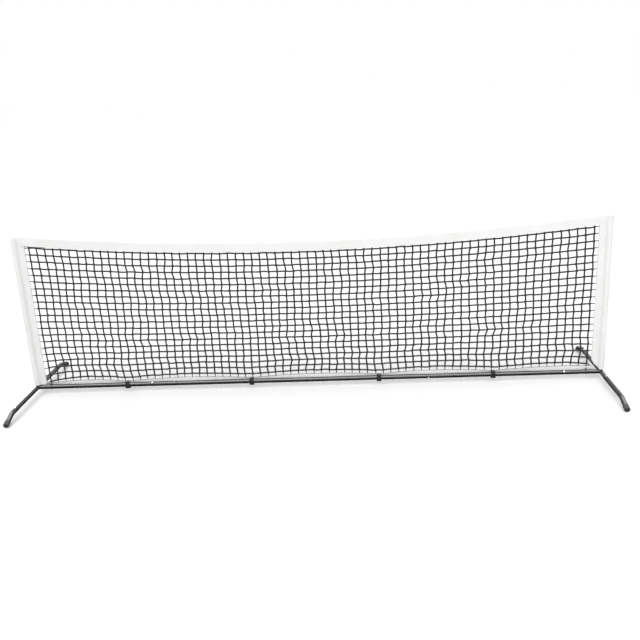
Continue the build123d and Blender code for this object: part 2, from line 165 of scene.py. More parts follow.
class Workshop:
    """Adds, shapes and finishes meshes."""

    @staticmethod
    def clear_selection() -> None:
        """Deselects everything, so that an operator acts on the new piece only."""
        bpy.ops.object.select_all(action="DESELECT")

    @staticmethod
    def take(name: str) -> Piece:
        """Names the object that an operator has just added, and returns it.

        Args:
            name: Its new name, and its mesh's.

        Returns:
            The object.
        """
        piece = bpy.context.object
        piece.name = name
        piece.data.name = name
        return piece

    @staticmethod
    def add(name: str, data: bpy.types.ID) -> Piece:
        """Adds an object to the scene.

        Args:
            name: Name of the new object.
            data: Its mesh, curve, lamp or camera.

        Returns:
            The new object.
        """
        piece = bpy.data.objects.new(name, data)
        bpy.context.scene.collection.objects.link(piece)
        return piece

    @classmethod
    def pick(cls, *pieces: Piece) -> None:
        """Selects some pieces and nothing else, with the first one active.

        Args:
            pieces: The pieces to select.
        """
        cls.clear_selection()
        for piece in pieces:
            piece.select_set(True)
        bpy.context.view_layer.objects.active = pieces[0]

    @staticmethod
    def present(
        piece: Piece,
        finish: Finish,
        slot: Slot,
        body: str = FIXED,
        node: str | None = None,
    ) -> None:
        """Gives a piece its finish and its body, and hides the node that it stands for.

        Args:
            piece: The finished piece.
            finish: What is put on it.
            slot: Not used.
            body: The body that it moves with.
            node: The plain node that it stands for, if it does.
        """
        finish.put_on(piece)
        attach(piece, body)
        if node is not None:
            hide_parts(node)

    @staticmethod
    def points(piece: Piece) -> Array:
        """Returns a mesh's vertices as an array of (x, y, z) rows.

        Args:
            piece: A mesh object.

        Returns:
            The vertices as an array of (x, y, z) rows.
        """
        flat = np.empty(len(piece.data.vertices) * 3)
        piece.data.vertices.foreach_get("co", flat)
        return flat.reshape(-1, 3)

    @staticmethod
    def move_points(piece: Piece, points: Array) -> None:
        """Moves a mesh's vertices to new places."""
        piece.data.vertices.foreach_set("co", np.ascontiguousarray(points).ravel())
        piece.data.update()

    @staticmethod
    def map_cloth(piece: Piece, size: Pair) -> None:
        """Scales a grid's UV map to the cloth's flat size, in metres.

        Args:
            piece: A grid with a UV map.
            size: The cloth's flat size, across and along.
        """
        layer = piece.data.uv_layers.active
        flat = np.empty(len(layer.data) * 2)
        layer.data.foreach_get("uv", flat)
        flat = flat.reshape(-1, 2) * np.array(size)
        layer.data.foreach_set("uv", flat.ravel())

    @classmethod
    def cloth(
        cls, name: str, steps: tuple[int, int], size: tuple[float, float], place: Place
    ) -> Piece:
        """Adds a grid and lays it as a sheet of cloth.

        Args:
            name: Name of the new object.
            steps: Number of faces across and along.
            size: Flat size of the cloth, across and along.
            place: Gives the points for arrays of u and v from 0 to 1.

        Returns:
            The new object, with its UV map in metres.
        """
        cls.clear_selection()
        bpy.ops.mesh.primitive_grid_add(
            x_subdivisions=steps[0], y_subdivisions=steps[1], size=1.0, calc_uvs=True
        )
        piece = cls.take(name)
        flat = cls.points(piece)
        cls.move_points(piece, place(flat[:, 0] + 0.5, flat[:, 1] + 0.5))
        cls.map_cloth(piece, size)
        return piece

    @staticmethod
    def thicken(piece: Piece, thickness: float, offset: float = -1.0) -> None:
        """Gives a sheet its thickness, below its outer face unless offset says otherwise.

        Args:
            piece: The sheet.
            thickness: The cloth's thickness.
            offset: -1 for below the outer face, 0 for both sides alike.
        """
        Workshop.pick(piece)
        wall = piece.modifiers.new("wall", "SOLIDIFY")
        wall.thickness = thickness
        wall.offset = offset
        wall.use_rim = True
        bpy.ops.object.modifier_apply(modifier=wall.name)

    @classmethod
    def weld(cls, piece: Piece, distance: float) -> None:
        """Merges a mesh's points that lie closer together than a distance.

        Args:
            piece: The mesh.
            distance: Points nearer to each other than this become one.
        """
        cls.pick(piece)
        bpy.ops.object.mode_set(mode="EDIT")
        bpy.ops.mesh.select_all(action="SELECT")
        bpy.ops.mesh.remove_doubles(threshold=distance)
        bpy.ops.mesh.dissolve_degenerate(threshold=distance / 2)
        bpy.ops.object.mode_set(mode="OBJECT")

    @classmethod
    def smooth(cls, piece: Piece, angle: float = ROUND_EDGE) -> None:
        """Smooths a mesh's shading where its faces meet at less than an angle in degrees."""
        cls.pick(piece)
        bpy.ops.object.shade_smooth_by_angle(angle=math.radians(angle))

    @classmethod
    def cords(cls, name: str, paths: Array, radius: float | Array, sides: int) -> Piece:
        """Makes one mesh of many closed round cords.

        Args:
            name: Name of the new object.
            paths: The points of each cord's middle line, as (cords, points, 3).
            radius: Radius of the cords, or one for each of their points.
            sides: Number of faces round a cord.

        Returns:
            The new object, with its UV map in metres, round the cord and then along it.
        """
        count, steps, _ = paths.shape
        along = np.gradient(paths, axis=1)
        along /= np.linalg.norm(along, axis=2, keepdims=True)
        sideways = np.cross(along, (0.0, 1.0, 0.0))
        sideways /= np.linalg.norm(sideways, axis=2, keepdims=True)
        deep = np.cross(sideways, along)
        turn = np.arange(sides) * 2 * math.pi / sides
        sine, cosine = np.sin(turn)[:, None], np.cos(turn)[:, None]
        ring = cosine * sideways[:, :, None] + sine * deep[:, :, None]
        reach = np.broadcast_to(radius, (count, steps))[:, :, None, None]
        points = (paths[:, :, None] + reach * ring).reshape(-1, 3)

        start = (np.arange(count)[:, None] * steps + np.arange(steps - 1)) * sides
        side = np.arange(sides)
        near = start[:, :, None] + side
        near_next = start[:, :, None] + (side + 1) % sides
        quads = np.stack([near, near + sides, near_next + sides, near_next], axis=3).reshape(-1, 4)
        first = np.arange(count)[:, None] * steps * sides + side
        last = (first + (steps - 1) * sides)[:, ::-1]
        mesh = bpy.data.meshes.new(name)
        mesh.from_pydata(points.tolist(), [], quads.tolist() + first.tolist() + last.tolist())

        length = run_lengths(paths)
        girth = 2 * math.pi * float(np.mean(radius)) / sides
        around = np.broadcast_to(side * girth, (count, steps - 1, sides))
        low = np.broadcast_to(length[:, :-1, None], around.shape)
        high = np.broadcast_to(length[:, 1:, None], around.shape)
        corners = [(around, low), (around, high), (around + girth, high), (around + girth, low)]
        uv = np.stack([np.stack(corner, axis=-1) for corner in corners], axis=3).reshape(-1, 2)
        caps = np.zeros((2 * count * sides, 2))
        layer = mesh.uv_layers.new(name="UVMap")
        layer.data.foreach_set("uv", np.concatenate([uv, caps]).ravel())
        piece = Workshop.add(name, mesh)
        cls.smooth(piece)
        return piece

    @classmethod
    def copies(cls, name: str, model: Piece, places: Sequence[Matrix]) -> Piece:
        """Makes one mesh of many copies of a small model, and removes the model.

        Args:
            name: Name of the new object.
            model: The mesh that is repeated, modelled at the origin.
            places: Where each copy goes.

        Returns:
            The new object.
        """
        shape = cls.points(model)
        turns = np.array([np.array(place.to_3x3()) for place in places])
        moves = np.array([np.array(place.translation) for place in places])
        points = np.einsum("nij,mj->nmi", turns, shape) + moves[:, None]
        faces = [list(face.vertices) for face in model.data.polygons]
        starts = range(0, len(places) * len(shape), len(shape))
        all_faces = [[start + corner for corner in face] for start in starts for face in faces]
        mesh = bpy.data.meshes.new(name)
        mesh.from_pydata(points.reshape(-1, 3).tolist(), [], all_faces)
        bpy.data.objects.remove(model)
        piece = Workshop.add(name, mesh)
        cls.smooth(piece)
        return piece

    @classmethod
    def join(cls, name: str, pieces: Sequence[Piece]) -> Piece:
        """Joins meshes into one object with a name, and returns it.

        Args:
            name: Name of the joined object.
            pieces: The meshes, of which the first one stays.

        Returns:
            The joined object.
        """
        cls.pick(*pieces)
        bpy.ops.object.join()
        return cls.take(name)

    @classmethod
    def ring(
        cls, name: str, steps: tuple[int, int], radii: tuple[float, float], place: Place
    ) -> Piece:
        """Adds a torus and lays its middle line along a closed curve.

        Args:
            name: Name of the new object.
            steps: Number of faces round the ring and round its section.
            radii: The ring's radius and its section's.
            place: Gives (moved points) for arrays of the ring's angle and the section's points,
                where a section's point is (outwards, up) from the middle line.

        Returns:
            The new object.
        """
        cls.clear_selection()
        bpy.ops.mesh.primitive_torus_add(
            major_segments=steps[0], minor_segments=steps[1],
            major_radius=radii[0], minor_radius=radii[1],
        )
        piece = cls.take(name)
        flat = cls.points(piece)
        angle = np.arctan2(flat[:, 1], flat[:, 0])
        outwards = np.hypot(flat[:, 0], flat[:, 1]) - radii[0]
        cls.move_points(piece, place(angle, np.stack([outwards, flat[:, 2]], axis=1)))
        cls.smooth(piece)
        return piece


class Stitching:
    """Rows of sewing stitches along a seam."""

    LENGTH = 3.4 * MM
    PITCH = 5.0 * MM
    WIDTH = 0.9 * MM
    HEIGHT = 0.6 * MM
    ROUNDING = 0.45  # of the height, at its corners

    @classmethod
    def stitch(cls) -> Piece:
        """Models one stitch: a small block with rounded corners, along X.

        Returns:
            The stitch, at the origin.
        """
        Workshop.clear_selection()
        bpy.ops.mesh.primitive_cube_add(size=1.0)
        piece = Workshop.take("stitch")
        Workshop.move_points(piece, Workshop.points(piece) * (cls.LENGTH, cls.WIDTH, cls.HEIGHT))
        bpy.ops.object.mode_set(mode="EDIT")
        bpy.ops.mesh.select_all(action="SELECT")
        rounding = cls.HEIGHT * cls.ROUNDING
        bpy.ops.mesh.bevel(offset=rounding, offset_type="OFFSET", segments=1, affect="EDGES")
        bpy.ops.object.mode_set(mode="OBJECT")
        return piece

    @classmethod
    def row(cls, line: Array, outwards: Array) -> list[Matrix]:
        """Finds the places of the stitches of one row.

        Args:
            line: Points along the seam.
            outwards: The cloth's outward direction at each point.

        Returns:
            One placing matrix for each stitch.
        """
        length = run_lengths(line)

        def read(stops: Array, values: Array) -> Array:
            """Reads points or directions at distances along the line."""
            return np.stack([np.interp(stops, length, axis) for axis in values.T], axis=1)

        stops = np.arange(cls.PITCH, length[-1] - cls.PITCH / 2, cls.PITCH)
        places = zip(read(stops, line), read(stops + cls.LENGTH, line), read(stops, outwards))
        return [cls.frame_at(Vector(here), Vector(ahead), Vector(up)) for here, ahead, up in places]

    @staticmethod
    def frame_at(here: Vector, ahead: Vector, up: Vector) -> Matrix:
        """A matrix at a point, with X towards the next point and Z outwards.

        Args:
            here: The point.
            ahead: The next point.
            up: The direction outwards.

        Returns:
            The placing matrix.
        """
        x_axis = (ahead - here).normalized()
        y_axis = up.cross(x_axis).normalized()
        z_axis = x_axis.cross(y_axis)
        turn = Matrix((x_axis, y_axis, z_axis)).transposed().to_4x4()
        turn.translation = here
        return turn

    @classmethod
    def sew(cls, name: str, seams: Iterable[Seam], finish: Finish, slot: Slot) -> Piece:
        """Makes one piece of every stitch along some seams.

        Args:
            name: Name of the new piece.
            seams: Each seam's line and its outward directions.
            finish: The thread's finish.
            slot: The slot of the cloth that the thread goes with.

        Returns:
            The new piece, on its body.
        """
        places = [place for seam in seams for place in cls.row(*seam)]
        piece = Workshop.copies(name, cls.stitch(), places)
        Workshop.present(piece, finish, slot)
        return piece


# ---- Finishes ----


class Nodes:
    """A new node material, with short ways to add and join its nodes."""

    def __init__(self, name: str, **sockets: float | tuple) -> None:
        """Makes the material and sets the shader's own sockets by their names.

        Args:
            name: Name of the material.
            sockets: Values of the shader's sockets, in lower case with underscores.
        """
        self.material = bpy.data.materials.new(name)
        self.material.use_nodes = True
        self.tree = self.material.node_tree
        self.shader = self.tree.nodes["Principled BSDF"]
        for socket, value in sockets.items():
            title = socket.replace("_", " ").title().replace("Ior", "IOR")
            self.shader.inputs[title].default_value = value
        self.coords = self.tree.nodes.new("ShaderNodeTexCoord")

    def add(self, kind: str, inputs: dict | None = None, **settings: object) -> bpy.types.Node:
        """Adds a node.

        Args:
            kind: The node's type without its ShaderNode prefix.
            inputs: Input sockets to set or to join, by name or number.
            settings: The node's own settings.

        Returns:
            The new node.
        """
        node = self.tree.nodes.new("ShaderNode" + kind)
        for key, value in settings.items():
            setattr(node, key, value)
        for key, value in (inputs or {}).items():
            if isinstance(value, Socket):
                self.tree.links.new(value, node.inputs[key])
            else:
                node.inputs[key].default_value = value
        return node

    def object_point(self, stretch: Point = (1, 1, 1)) -> Socket:
        """The point on the object, stretched."""
        mapping = self.add("Mapping", {"Vector": self.coords.outputs["Object"], "Scale": stretch})
        return mapping.outputs[0]

    def noise(self, scale: float, detail: float = 2.0, vector: Socket | None = None) -> Socket:
        """A noise of so many lumps to the metre."""
        vector = vector or self.coords.outputs["Object"]
        return self.add("TexNoise", {"Vector": vector, "Scale": scale, "Detail": detail}).outputs[0]

    def math(self, operation: str, *values: float | Socket) -> Socket:
        """The result of a Math node."""
        return self.add("Math", dict(enumerate(values)), operation=operation).outputs[0]

    def spread(
        self, value: Socket, low: float, high: float, start: float = 0.3, stop: float = 0.7
    ) -> Socket:
        """Maps start to stop of a value, at first a noise's middle, onto low to high."""
        span = {"From Min": start, "From Max": stop, "To Min": low, "To Max": high}
        return self.add("MapRange", {"Value": value, **span}).outputs[0]

    def colours(self, factor: Socket, first: Colour, second: Colour) -> Socket:
        """Mixes two colours.

        Args:
            factor: 0 for the first colour, 1 for the second.
            first: The first colour.
            second: The second colour.

        Returns:
            The mixed colour.
        """
        ramp = self.add("ValToRGB", {0: factor})
        ramp.color_ramp.elements[0].color = (*first, 1)
        ramp.color_ramp.elements[1].color = (*second, 1)
        return ramp.outputs[0]

    def mix(self, factor: Socket, first: Socket, second: Colour) -> Socket:
        """Lays a plain colour over a pattern by a factor.

        Args:
            factor: How much of the plain colour shows.
            first: The pattern.
            second: The plain colour.

        Returns:
            The resulting colour.
        """
        node = self.add("Mix", data_type="RGBA")
        self.tree.links.new(factor, node.inputs[0])
        self.tree.links.new(first, node.inputs[6])
        node.inputs[7].default_value = (*second, 1)
        return node.outputs[2]

    def set(self, socket: str, value: Socket) -> None:
        """Joins a value to one of the shader's sockets."""
        self.tree.links.new(value, self.shader.inputs[socket])

    def bump(self, *layers: tuple[Socket, float, float]) -> None:
        """Lays bump layers over each other, each as (height, strength, distance in metres).

        Args:
            layers: The layers, the lowest first.
        """
        below = None
        for height, strength, distance in layers:
            inputs = {"Height": height, "Strength": strength, "Distance": distance}
            if below is not None:
                inputs["Normal"] = below
            below = self.add("Bump", inputs).outputs[0]
        self.set("Normal", below)

    def edges(self, radius: float) -> Socket:
        """Is 1 along sharp edges and 0 on open faces.

        Args:
            radius: How wide an edge counts, in metres.

        Returns:
            The factor.
        """
        rounded = self.add("Bevel", {"Radius": radius}, samples=4).outputs[0]
        flat = self.add("NewGeometry").outputs["Normal"]
        facing = self.add("VectorMath", {0: rounded, 1: flat}, operation="DOT_PRODUCT")
        return self.spread(facing.outputs["Value"], 1.0, 0.0, 0.80, 0.985)


@dataclass(frozen=True)
class Finish:
    """A finish that is made once and put on any number of pieces."""

    name: str

    def make(self) -> bpy.types.Material:
        """Builds the material."""
        raise NotImplementedError

    def put_on(self, piece: Piece) -> None:
        """Puts the finish on a piece, on every slot that it has.

        Args:
            piece: The piece.
        """
        material = bpy.data.materials.get(self.name) or self.make()
        if not piece.data.materials:
            piece.data.materials.append(material)
        for slot in piece.material_slots:
            slot.material = material


@dataclass(frozen=True)
class PowderCoat(Finish):
    """Gloss black powder coat on steel tube, with orange peel, faint scratches and worn edges."""

    dark: Colour = (0.0065, 0.0065, 0.007)
    light: Colour = (0.014, 0.014, 0.0145)
    scuffed: Colour = (0.075, 0.075, 0.078)
    peel_per_metre: float = 620.0
    worn_edge: float = 0.5 * MM

    def make(self) -> bpy.types.Material:
        """Builds the material.

        Returns:
            The material.
        """
        nodes = Nodes(self.name, coat_weight=0.35, coat_roughness=0.16, ior=1.5)
        cloudy = nodes.noise(22.0, 3.0)
        scratches = nodes.noise(60.0, 4.0, nodes.object_point((1.0, 14.0, 14.0)))
        scratched = nodes.spread(scratches, 0.0, 1.0, 0.66, 0.72)
        patches = nodes.spread(nodes.noise(240.0), 0.0, 0.8, 0.42, 0.6)
        worn = nodes.math("MULTIPLY", nodes.edges(self.worn_edge), patches)
        colour = nodes.colours(cloudy, self.dark, self.light)
        colour = nodes.mix(nodes.math("MULTIPLY", scratched, 0.16), colour, self.scuffed)
        nodes.set("Base Color", nodes.mix(worn, colour, self.scuffed))
        rough = nodes.spread(cloudy, 0.22, 0.32)
        rough = nodes.math("ADD", rough, nodes.math("MULTIPLY", scratched, 0.07))
        nodes.set("Roughness", nodes.math("ADD", rough, nodes.math("MULTIPLY", worn, 0.2)))
        peel = nodes.noise(self.peel_per_metre, 1.0)
        nodes.bump((peel, 0.10, 0.25 * MM), (nodes.noise(90.0, 1.0), 0.06, 0.4 * MM))
        return nodes.material


@dataclass(frozen=True)
class Rubber(Finish):
    """Matt black rubber, dusty where it stands on the ground."""

    dark: Colour = (0.006, 0.006, 0.006)
    light: Colour = (0.013, 0.0128, 0.0125)
    dust: Colour = (0.16, 0.15, 0.135)
    dust_height: float = 7 * MM

    def make(self) -> bpy.types.Material:
        """Builds the material.

        Returns:
            The material.
        """
        nodes = Nodes(self.name, ior=1.38)
        mottled = nodes.noise(70.0, 4.0)
        height = nodes.add("SeparateXYZ", {0: nodes.coords.outputs["Object"]}).outputs[2]
        low = nodes.spread(height, 0.75, 0.0, 0.0, self.dust_height)
        patches = nodes.spread(nodes.noise(260.0, 4.0), 0.0, 1.0, 0.4, 0.65)
        dusty = nodes.math("MULTIPLY", low, patches)
        colour = nodes.colours(mottled, self.dark, self.light)
        nodes.set("Base Color", nodes.mix(dusty, colour, self.dust))
        nodes.set("Roughness", nodes.spread(mottled, 0.48, 0.72))
        grain, dents = nodes.noise(1500.0, 2.0), nodes.noise(160.0)
        nodes.bump((grain, 0.25, 0.15 * MM), (dents, 0.15, 0.3 * MM))
        return nodes.material


@dataclass(frozen=True)
class MouldedPlastic(Finish):
    """Satin black moulded plastic."""

    dark: Colour = (0.012, 0.012, 0.012)
    light: Colour = (0.02, 0.02, 0.021)

    def make(self) -> bpy.types.Material:
        """Builds the material.

        Returns:
            The material.
        """
        nodes = Nodes(self.name, ior=1.46)
        grain = nodes.noise(900.0, 2.0)
        nodes.set("Base Color", nodes.colours(nodes.noise(40.0), self.dark, self.light))
        nodes.set("Roughness", nodes.spread(grain, 0.42, 0.6))
        nodes.bump((grain, 0.2, 0.12 * MM))
        return nodes.material


@dataclass(frozen=True)
class BareSteel(Finish):
    """Bare or plated steel with fine draw marks."""

    dark: Colour = (0.42, 0.43, 0.44)
    light: Colour = (0.62, 0.62, 0.63)
    roughness: Pair = (0.14, 0.30)
    marks: Point = (40.0, 900.0, 900.0)  # to the metre

    def make(self) -> bpy.types.Material:
        """Builds the material.

        Returns:
            The material.
        """
        nodes = Nodes(self.name, metallic=1.0)
        drawn = nodes.noise(1.0, 3.0, nodes.object_point(self.marks))
        spots = nodes.noise(420.0, 4.0)
        patchy = nodes.math("MULTIPLY", drawn, spots)
        nodes.set("Base Color", nodes.colours(patchy, self.dark, self.light))
        nodes.set("Roughness", nodes.spread(drawn, *self.roughness))
        nodes.bump((drawn, 0.12, 0.08 * MM), (spots, 0.05, 0.08 * MM))
        return nodes.material


@dataclass(frozen=True)
class CoatedWeave(Finish):
    """White coated plain weave, creased and a little soiled, with painted shade in the gaps between
    its yarns.
    """

    yarn: float = 1.1 * MM
    clean: Colour = (0.68, 0.68, 0.677)
    soiled: Colour = (0.63, 0.627, 0.618)
    # painted shade: the darker colour laid into the gaps between the yarns
    yarn_gap_shade: Colour = (0.55, 0.55, 0.545)

    def make(self) -> bpy.types.Material:
        """Builds the material.

        Returns:
            The material.
        """
        nodes = Nodes(self.name, sheen_weight=0.08, ior=1.45)
        cloth = nodes.add("SeparateXYZ", {0: nodes.coords.outputs["UV"]})
        rate = math.pi / self.yarn
        warp = nodes.math("SINE", nodes.math("MULTIPLY", cloth.outputs[0], rate))
        weft = nodes.math("SINE", nodes.math("MULTIPLY", cloth.outputs[1], rate))
        weave = nodes.math("ABSOLUTE", nodes.math("MULTIPLY", warp, weft))
        soil = nodes.noise(7.0, 5.0)
        creases = nodes.noise(34.0, 3.0, nodes.object_point((0.45, 1.0, 1.0)))
        colour = nodes.colours(nodes.spread(soil, 1.0, 0.0, 0.35, 0.75), self.soiled, self.clean)
        # painted shade: darker where the weave's bump is low, between the yarns
        yarn_gap_shading = nodes.spread(weave, 0.22, 0.0, 0.0, 0.35)
        nodes.set("Base Color", nodes.mix(yarn_gap_shading, colour, self.yarn_gap_shade))
        nodes.set("Roughness", nodes.spread(soil, 0.52, 0.68))
        nodes.bump((creases, 0.35, 1.2 * MM), (weave, 0.45, 0.22 * MM))
        return nodes.material


@dataclass(frozen=True)
class Webbing(Finish):
    """Black hook-and-loop webbing: ribbed, with a fuzz of loops."""

    rib: float = 1.8 * MM
    dark: Colour = (0.005, 0.005, 0.0055)
    light: Colour = (0.013, 0.013, 0.014)

    def make(self) -> bpy.types.Material:
        """Builds the material.

        Returns:
            The material.
        """
        nodes = Nodes(self.name, sheen_weight=0.06, sheen_roughness=0.5, ior=1.3)
        cloth = nodes.add("SeparateXYZ", {0: nodes.coords.outputs["UV"]})
        ribs = nodes.math("SINE", nodes.math("MULTIPLY", cloth.outputs[1], 2 * math.pi / self.rib))
        fuzz = nodes.noise(1700.0, 3.0)
        patchy = nodes.noise(120.0, 3.0)
        nodes.set("Base Color", nodes.colours(patchy, self.dark, self.light))
        nodes.set("Roughness", nodes.spread(fuzz, 0.78, 0.95))
        nodes.bump((ribs, 0.4, 0.3 * MM), (fuzz, 0.6, 0.3 * MM))
        return nodes.material


@dataclass(frozen=True)
class TwistedCord(Finish):
    """Twisted or braided cord. Its strands wind round it once in each lay, with painted shade in
    the grooves between them.
    """

    dark: Colour = (0.014, 0.0120, 0.0110)
    light: Colour = (0.030, 0.0262, 0.0243)
    radius: float = 4.5 * MM
    strands: int = 3
    lay: float = 18 * MM
    braided: bool = False
    # painted shade: the darker colour laid into the grooves between the strands
    groove_shade: Colour = (0.01, 0.009, 0.0085)

    def make(self) -> bpy.types.Material:
        """Builds the material.

        Returns:
            The material.
        """
        nodes = Nodes(self.name, sheen_weight=0.08, sheen_roughness=0.6, ior=1.32)
        cord = nodes.add("SeparateXYZ", {0: nodes.coords.outputs["UV"]})
        round_rate = self.strands / self.radius
        along_rate = 2 * math.pi * self.strands / self.lay
        turn = nodes.math("MULTIPLY", cord.outputs[0], round_rate)
        run = nodes.math("MULTIPLY", cord.outputs[1], along_rate)
        strands = nodes.math("SINE", nodes.math("ADD", turn, run))
        if self.braided:
            other = nodes.math("SINE", nodes.math("SUBTRACT", turn, run))
            strands = nodes.math("MULTIPLY", strands, other)
        fuzz = nodes.noise(1400.0, 2.0)
        faded = nodes.noise(5.0, 4.0)
        colour = nodes.colours(faded, self.dark, self.light)
        # painted shade: darker where the strands' bump is low, in the grooves between them
        grooves = nodes.spread(strands, 0.45, 0.0, -1.0, -0.2)
        nodes.set("Base Color", nodes.mix(grooves, colour, self.groove_shade))
        nodes.set("Roughness", nodes.spread(fuzz, 0.68, 0.88))
        nodes.bump((strands, 0.6, 0.35 * MM), (fuzz, 0.3, 0.15 * MM))
        return nodes.material


@dataclass(frozen=True)
class Thread(Finish):
    """Sewing thread."""

    dark: Colour = (0.62, 0.62, 0.61)
    light: Colour = (0.80, 0.80, 0.79)

    def make(self) -> bpy.types.Material:
        """Builds the material.

        Returns:
            The material.
        """
        nodes = Nodes(self.name, sheen_weight=0.15, ior=1.45)
        plies = nodes.noise(1.0, 2.0, nodes.object_point((1500.0, 2600.0, 1500.0)))
        nodes.set("Base Color", nodes.colours(plies, self.dark, self.light))
        nodes.set("Roughness", nodes.spread(plies, 0.55, 0.75))
        nodes.bump((plies, 0.4, 0.2 * MM))
        return nodes.material


@dataclass(frozen=True)
class StudioPaper(Finish):
    """Plain pale background paper."""

    dark: Colour = (0.90, 0.90, 0.90)
    light: Colour = (0.915, 0.915, 0.915)

    def make(self) -> bpy.types.Material:
        """Builds the material.

        Returns:
            The material.
        """
        nodes = Nodes(self.name, ior=1.3)
        grain = nodes.noise(3.0, 3.0)
        nodes.set("Base Color", nodes.colours(grain, self.dark, self.light))
        nodes.set("Roughness", nodes.spread(grain, 0.9, 0.97))
        return nodes.material


@dataclass(frozen=True)
class Palette:
    """Every finish of the net."""

    tube: Finish = PowderCoat("powder_coated_tube")
    lip: Finish = PowderCoat("powder_coated_lip", scuffed=(0.10, 0.10, 0.105))
    rubber: Finish = Rubber("foot_rubber")
    plastic: Finish = MouldedPlastic("post_cap_plastic")
    button: Finish = BareSteel(
        "plated_button_steel", (0.82, 0.82, 0.83), (0.95, 0.95, 0.95), (0.28, 0.42)
    )
    spring: Finish = BareSteel(
        "spring_steel", (0.20, 0.205, 0.22), (0.36, 0.365, 0.38), (0.26, 0.42)
    )
    binding: Finish = CoatedWeave("white_coated_weave")
    # painted light: a brighter copy of the binding's weave, so that the hem, which the rail shades
    # from below, still looks white
    hem: Finish = CoatedWeave(
        "white_hem_weave_brightened", 1.1 * MM, (0.90, 0.90, 0.895), (0.84, 0.835, 0.825), (0.76, 0.76, 0.755)
    )
    webbing: Finish = Webbing("hook_and_loop_webbing")
    netting: Finish = TwistedCord("twisted_net_cord")
    knot: Finish = TwistedCord("net_knot_cord", (0.012, 0.0103, 0.0094), (0.026, 0.0227, 0.021))
    head_cord: Finish = TwistedCord(
        "braided_head_cord", (0.018, 0.018, 0.019), (0.042, 0.042, 0.044), 2 * MM, 6, 16 * MM, True
    )
    # painted shadow: the thin grey cord that draws the shadow line along the hem's top edge
    painted_shadow_line: Finish = TwistedCord(
        "net_painted_shadow_line_cord", (0.10, 0.095, 0.09), (0.17, 0.16, 0.155), 1.2 * MM, 3, 6 * MM
    )
    white_thread: Finish = Thread("white_thread")
    grey_thread: Finish = Thread("grey_thread", (0.30, 0.30, 0.31), (0.44, 0.44, 0.45))
    black_thread: Finish = Thread("black_thread", (0.012, 0.012, 0.012), (0.03, 0.03, 0.03))
    paper: Finish = StudioPaper("studio_paper")


# ---- The net's lines ----


@dataclass(frozen=True)
class NetLines:
    """The outline that the net, its bindings and its cords share, read from the frame."""

    post: float
    half_width: float
    top: float
    rail_height: float
    rail_radius: float
    straps: tuple[float, ...]
    sag: float = 80 * MM
    band_height: float = 50 * MM
    reveals: Point = (4 * MM, 5 * MM, 20 * MM)  # left end, straps, right end
    rise: float = 15 * MM  # hem's arch between two straps
    end_rise: float = 8 * MM  # the same past the last strap
    lean: float = 8.5 * MM  # how far the net's foot stands behind the rail's axis
    lean_reach: float = 350 * MM

    @classmethod
    def from_frame(cls) -> NetLines:
        """Reads the places of the posts, rail, band and straps.

        Returns:
            The lines.
        """

        def middle(node: str) -> float:
            """A node's middle along the net."""
            low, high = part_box(node)
            return (low[0] + high[0]) / 2

        rail_low, rail_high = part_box("rail_section_1")
        radius = (rail_high[1] - rail_low[1]) / 2
        band_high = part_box("top_band")[1]
        rail_height = (rail_low[2] + rail_high[2]) / 2
        straps = tuple(middle(f"strap_{number}") for number in STRAPS)
        post = middle("right_post")
        return cls(post, band_high[0], band_high[2], rail_height, radius, straps)

    @property
    def rail_top(self) -> float:
        """Height of the rail's top."""
        return self.rail_height + self.rail_radius

    def top_edge(self, x: Array) -> Array:
        """Height of the net's top, which hangs in one arc.

        Args:
            x: Places along the net.

        Returns:
            The heights.
        """
        radius = (self.half_width**2 + self.sag**2) / (2 * self.sag)
        x = np.clip(x, -self.half_width, self.half_width)
        return self.top - self.sag + radius - np.sqrt(radius**2 - x**2)

    def band_edge(self, x: Array) -> Array:
        """Height of the top band's lower edge."""
        return self.top_edge(x) - self.band_height

    def hem_edge(self, x: Array) -> Array:
        """Height of the bottom band's upper edge, pulled down at each strap.

        Args:
            x: Places along the net.

        Returns:
            The heights.
        """
        held = np.array([-self.half_width, *self.straps, self.half_width])
        left, strapped, right = self.reveals
        reveal = np.interp(x, held, [left] + [strapped] * len(self.straps) + [right])
        span = np.clip(np.searchsorted(held, x) - 1, 0, len(held) - 2)
        middle = (held[span] + held[span + 1]) / 2
        arch = np.clip(1 - ((x - middle) / (held[span + 1] - middle)) ** 2, 0, 1)
        rise = np.where(span == len(held) - 2, self.end_rise, self.rise)
        return self.rail_top + reveal + rise * arch

    def depth(self, z: Array) -> Array:
        """How far the net's middle plane stands behind the posts' axes at a height."""
        low = np.clip(1 - (z - self.rail_top) / self.lean_reach, 0, 1)
        return self.lean * low**2


# ---- Sub-assemblies ----


@dataclass
class TubeFrame:
    """The frame's own nodes: tubes, caps, buttons and springs."""

    palette: Palette

    def finish_of(self, node: str) -> Finish | None:
        """Finds the finish of a node by what its name says it is.

        Args:
            node: The node's name.

        Returns:
            The finish.
        """
        if node.endswith("_button") or node.startswith("rail_button"):
            return self.palette.button
        if node.endswith("_springs"):
            return self.palette.spring
        if node.endswith("_foot_cap"):
            return self.palette.rubber
        if node.endswith("_post_cap"):
            return self.palette.plastic
        if node.endswith(("_hub", "_tip", "_leg", "_post")) or node.startswith("rail_section"):
            return self.palette.tube
        if node.startswith("strap"):
            return self.palette.webbing
        if node.endswith(("_band", "_sleeve")):
            return self.palette.binding
        if node == "net_panel":
            return self.palette.netting
        return self.palette.head_cord

    def dress(self, nodes: dict[str, Piece]) -> None:
        """Puts a finish on every node of the frame, shown or hidden."""
        for name, node in nodes.items():
            self.finish_of(name).put_on(node)


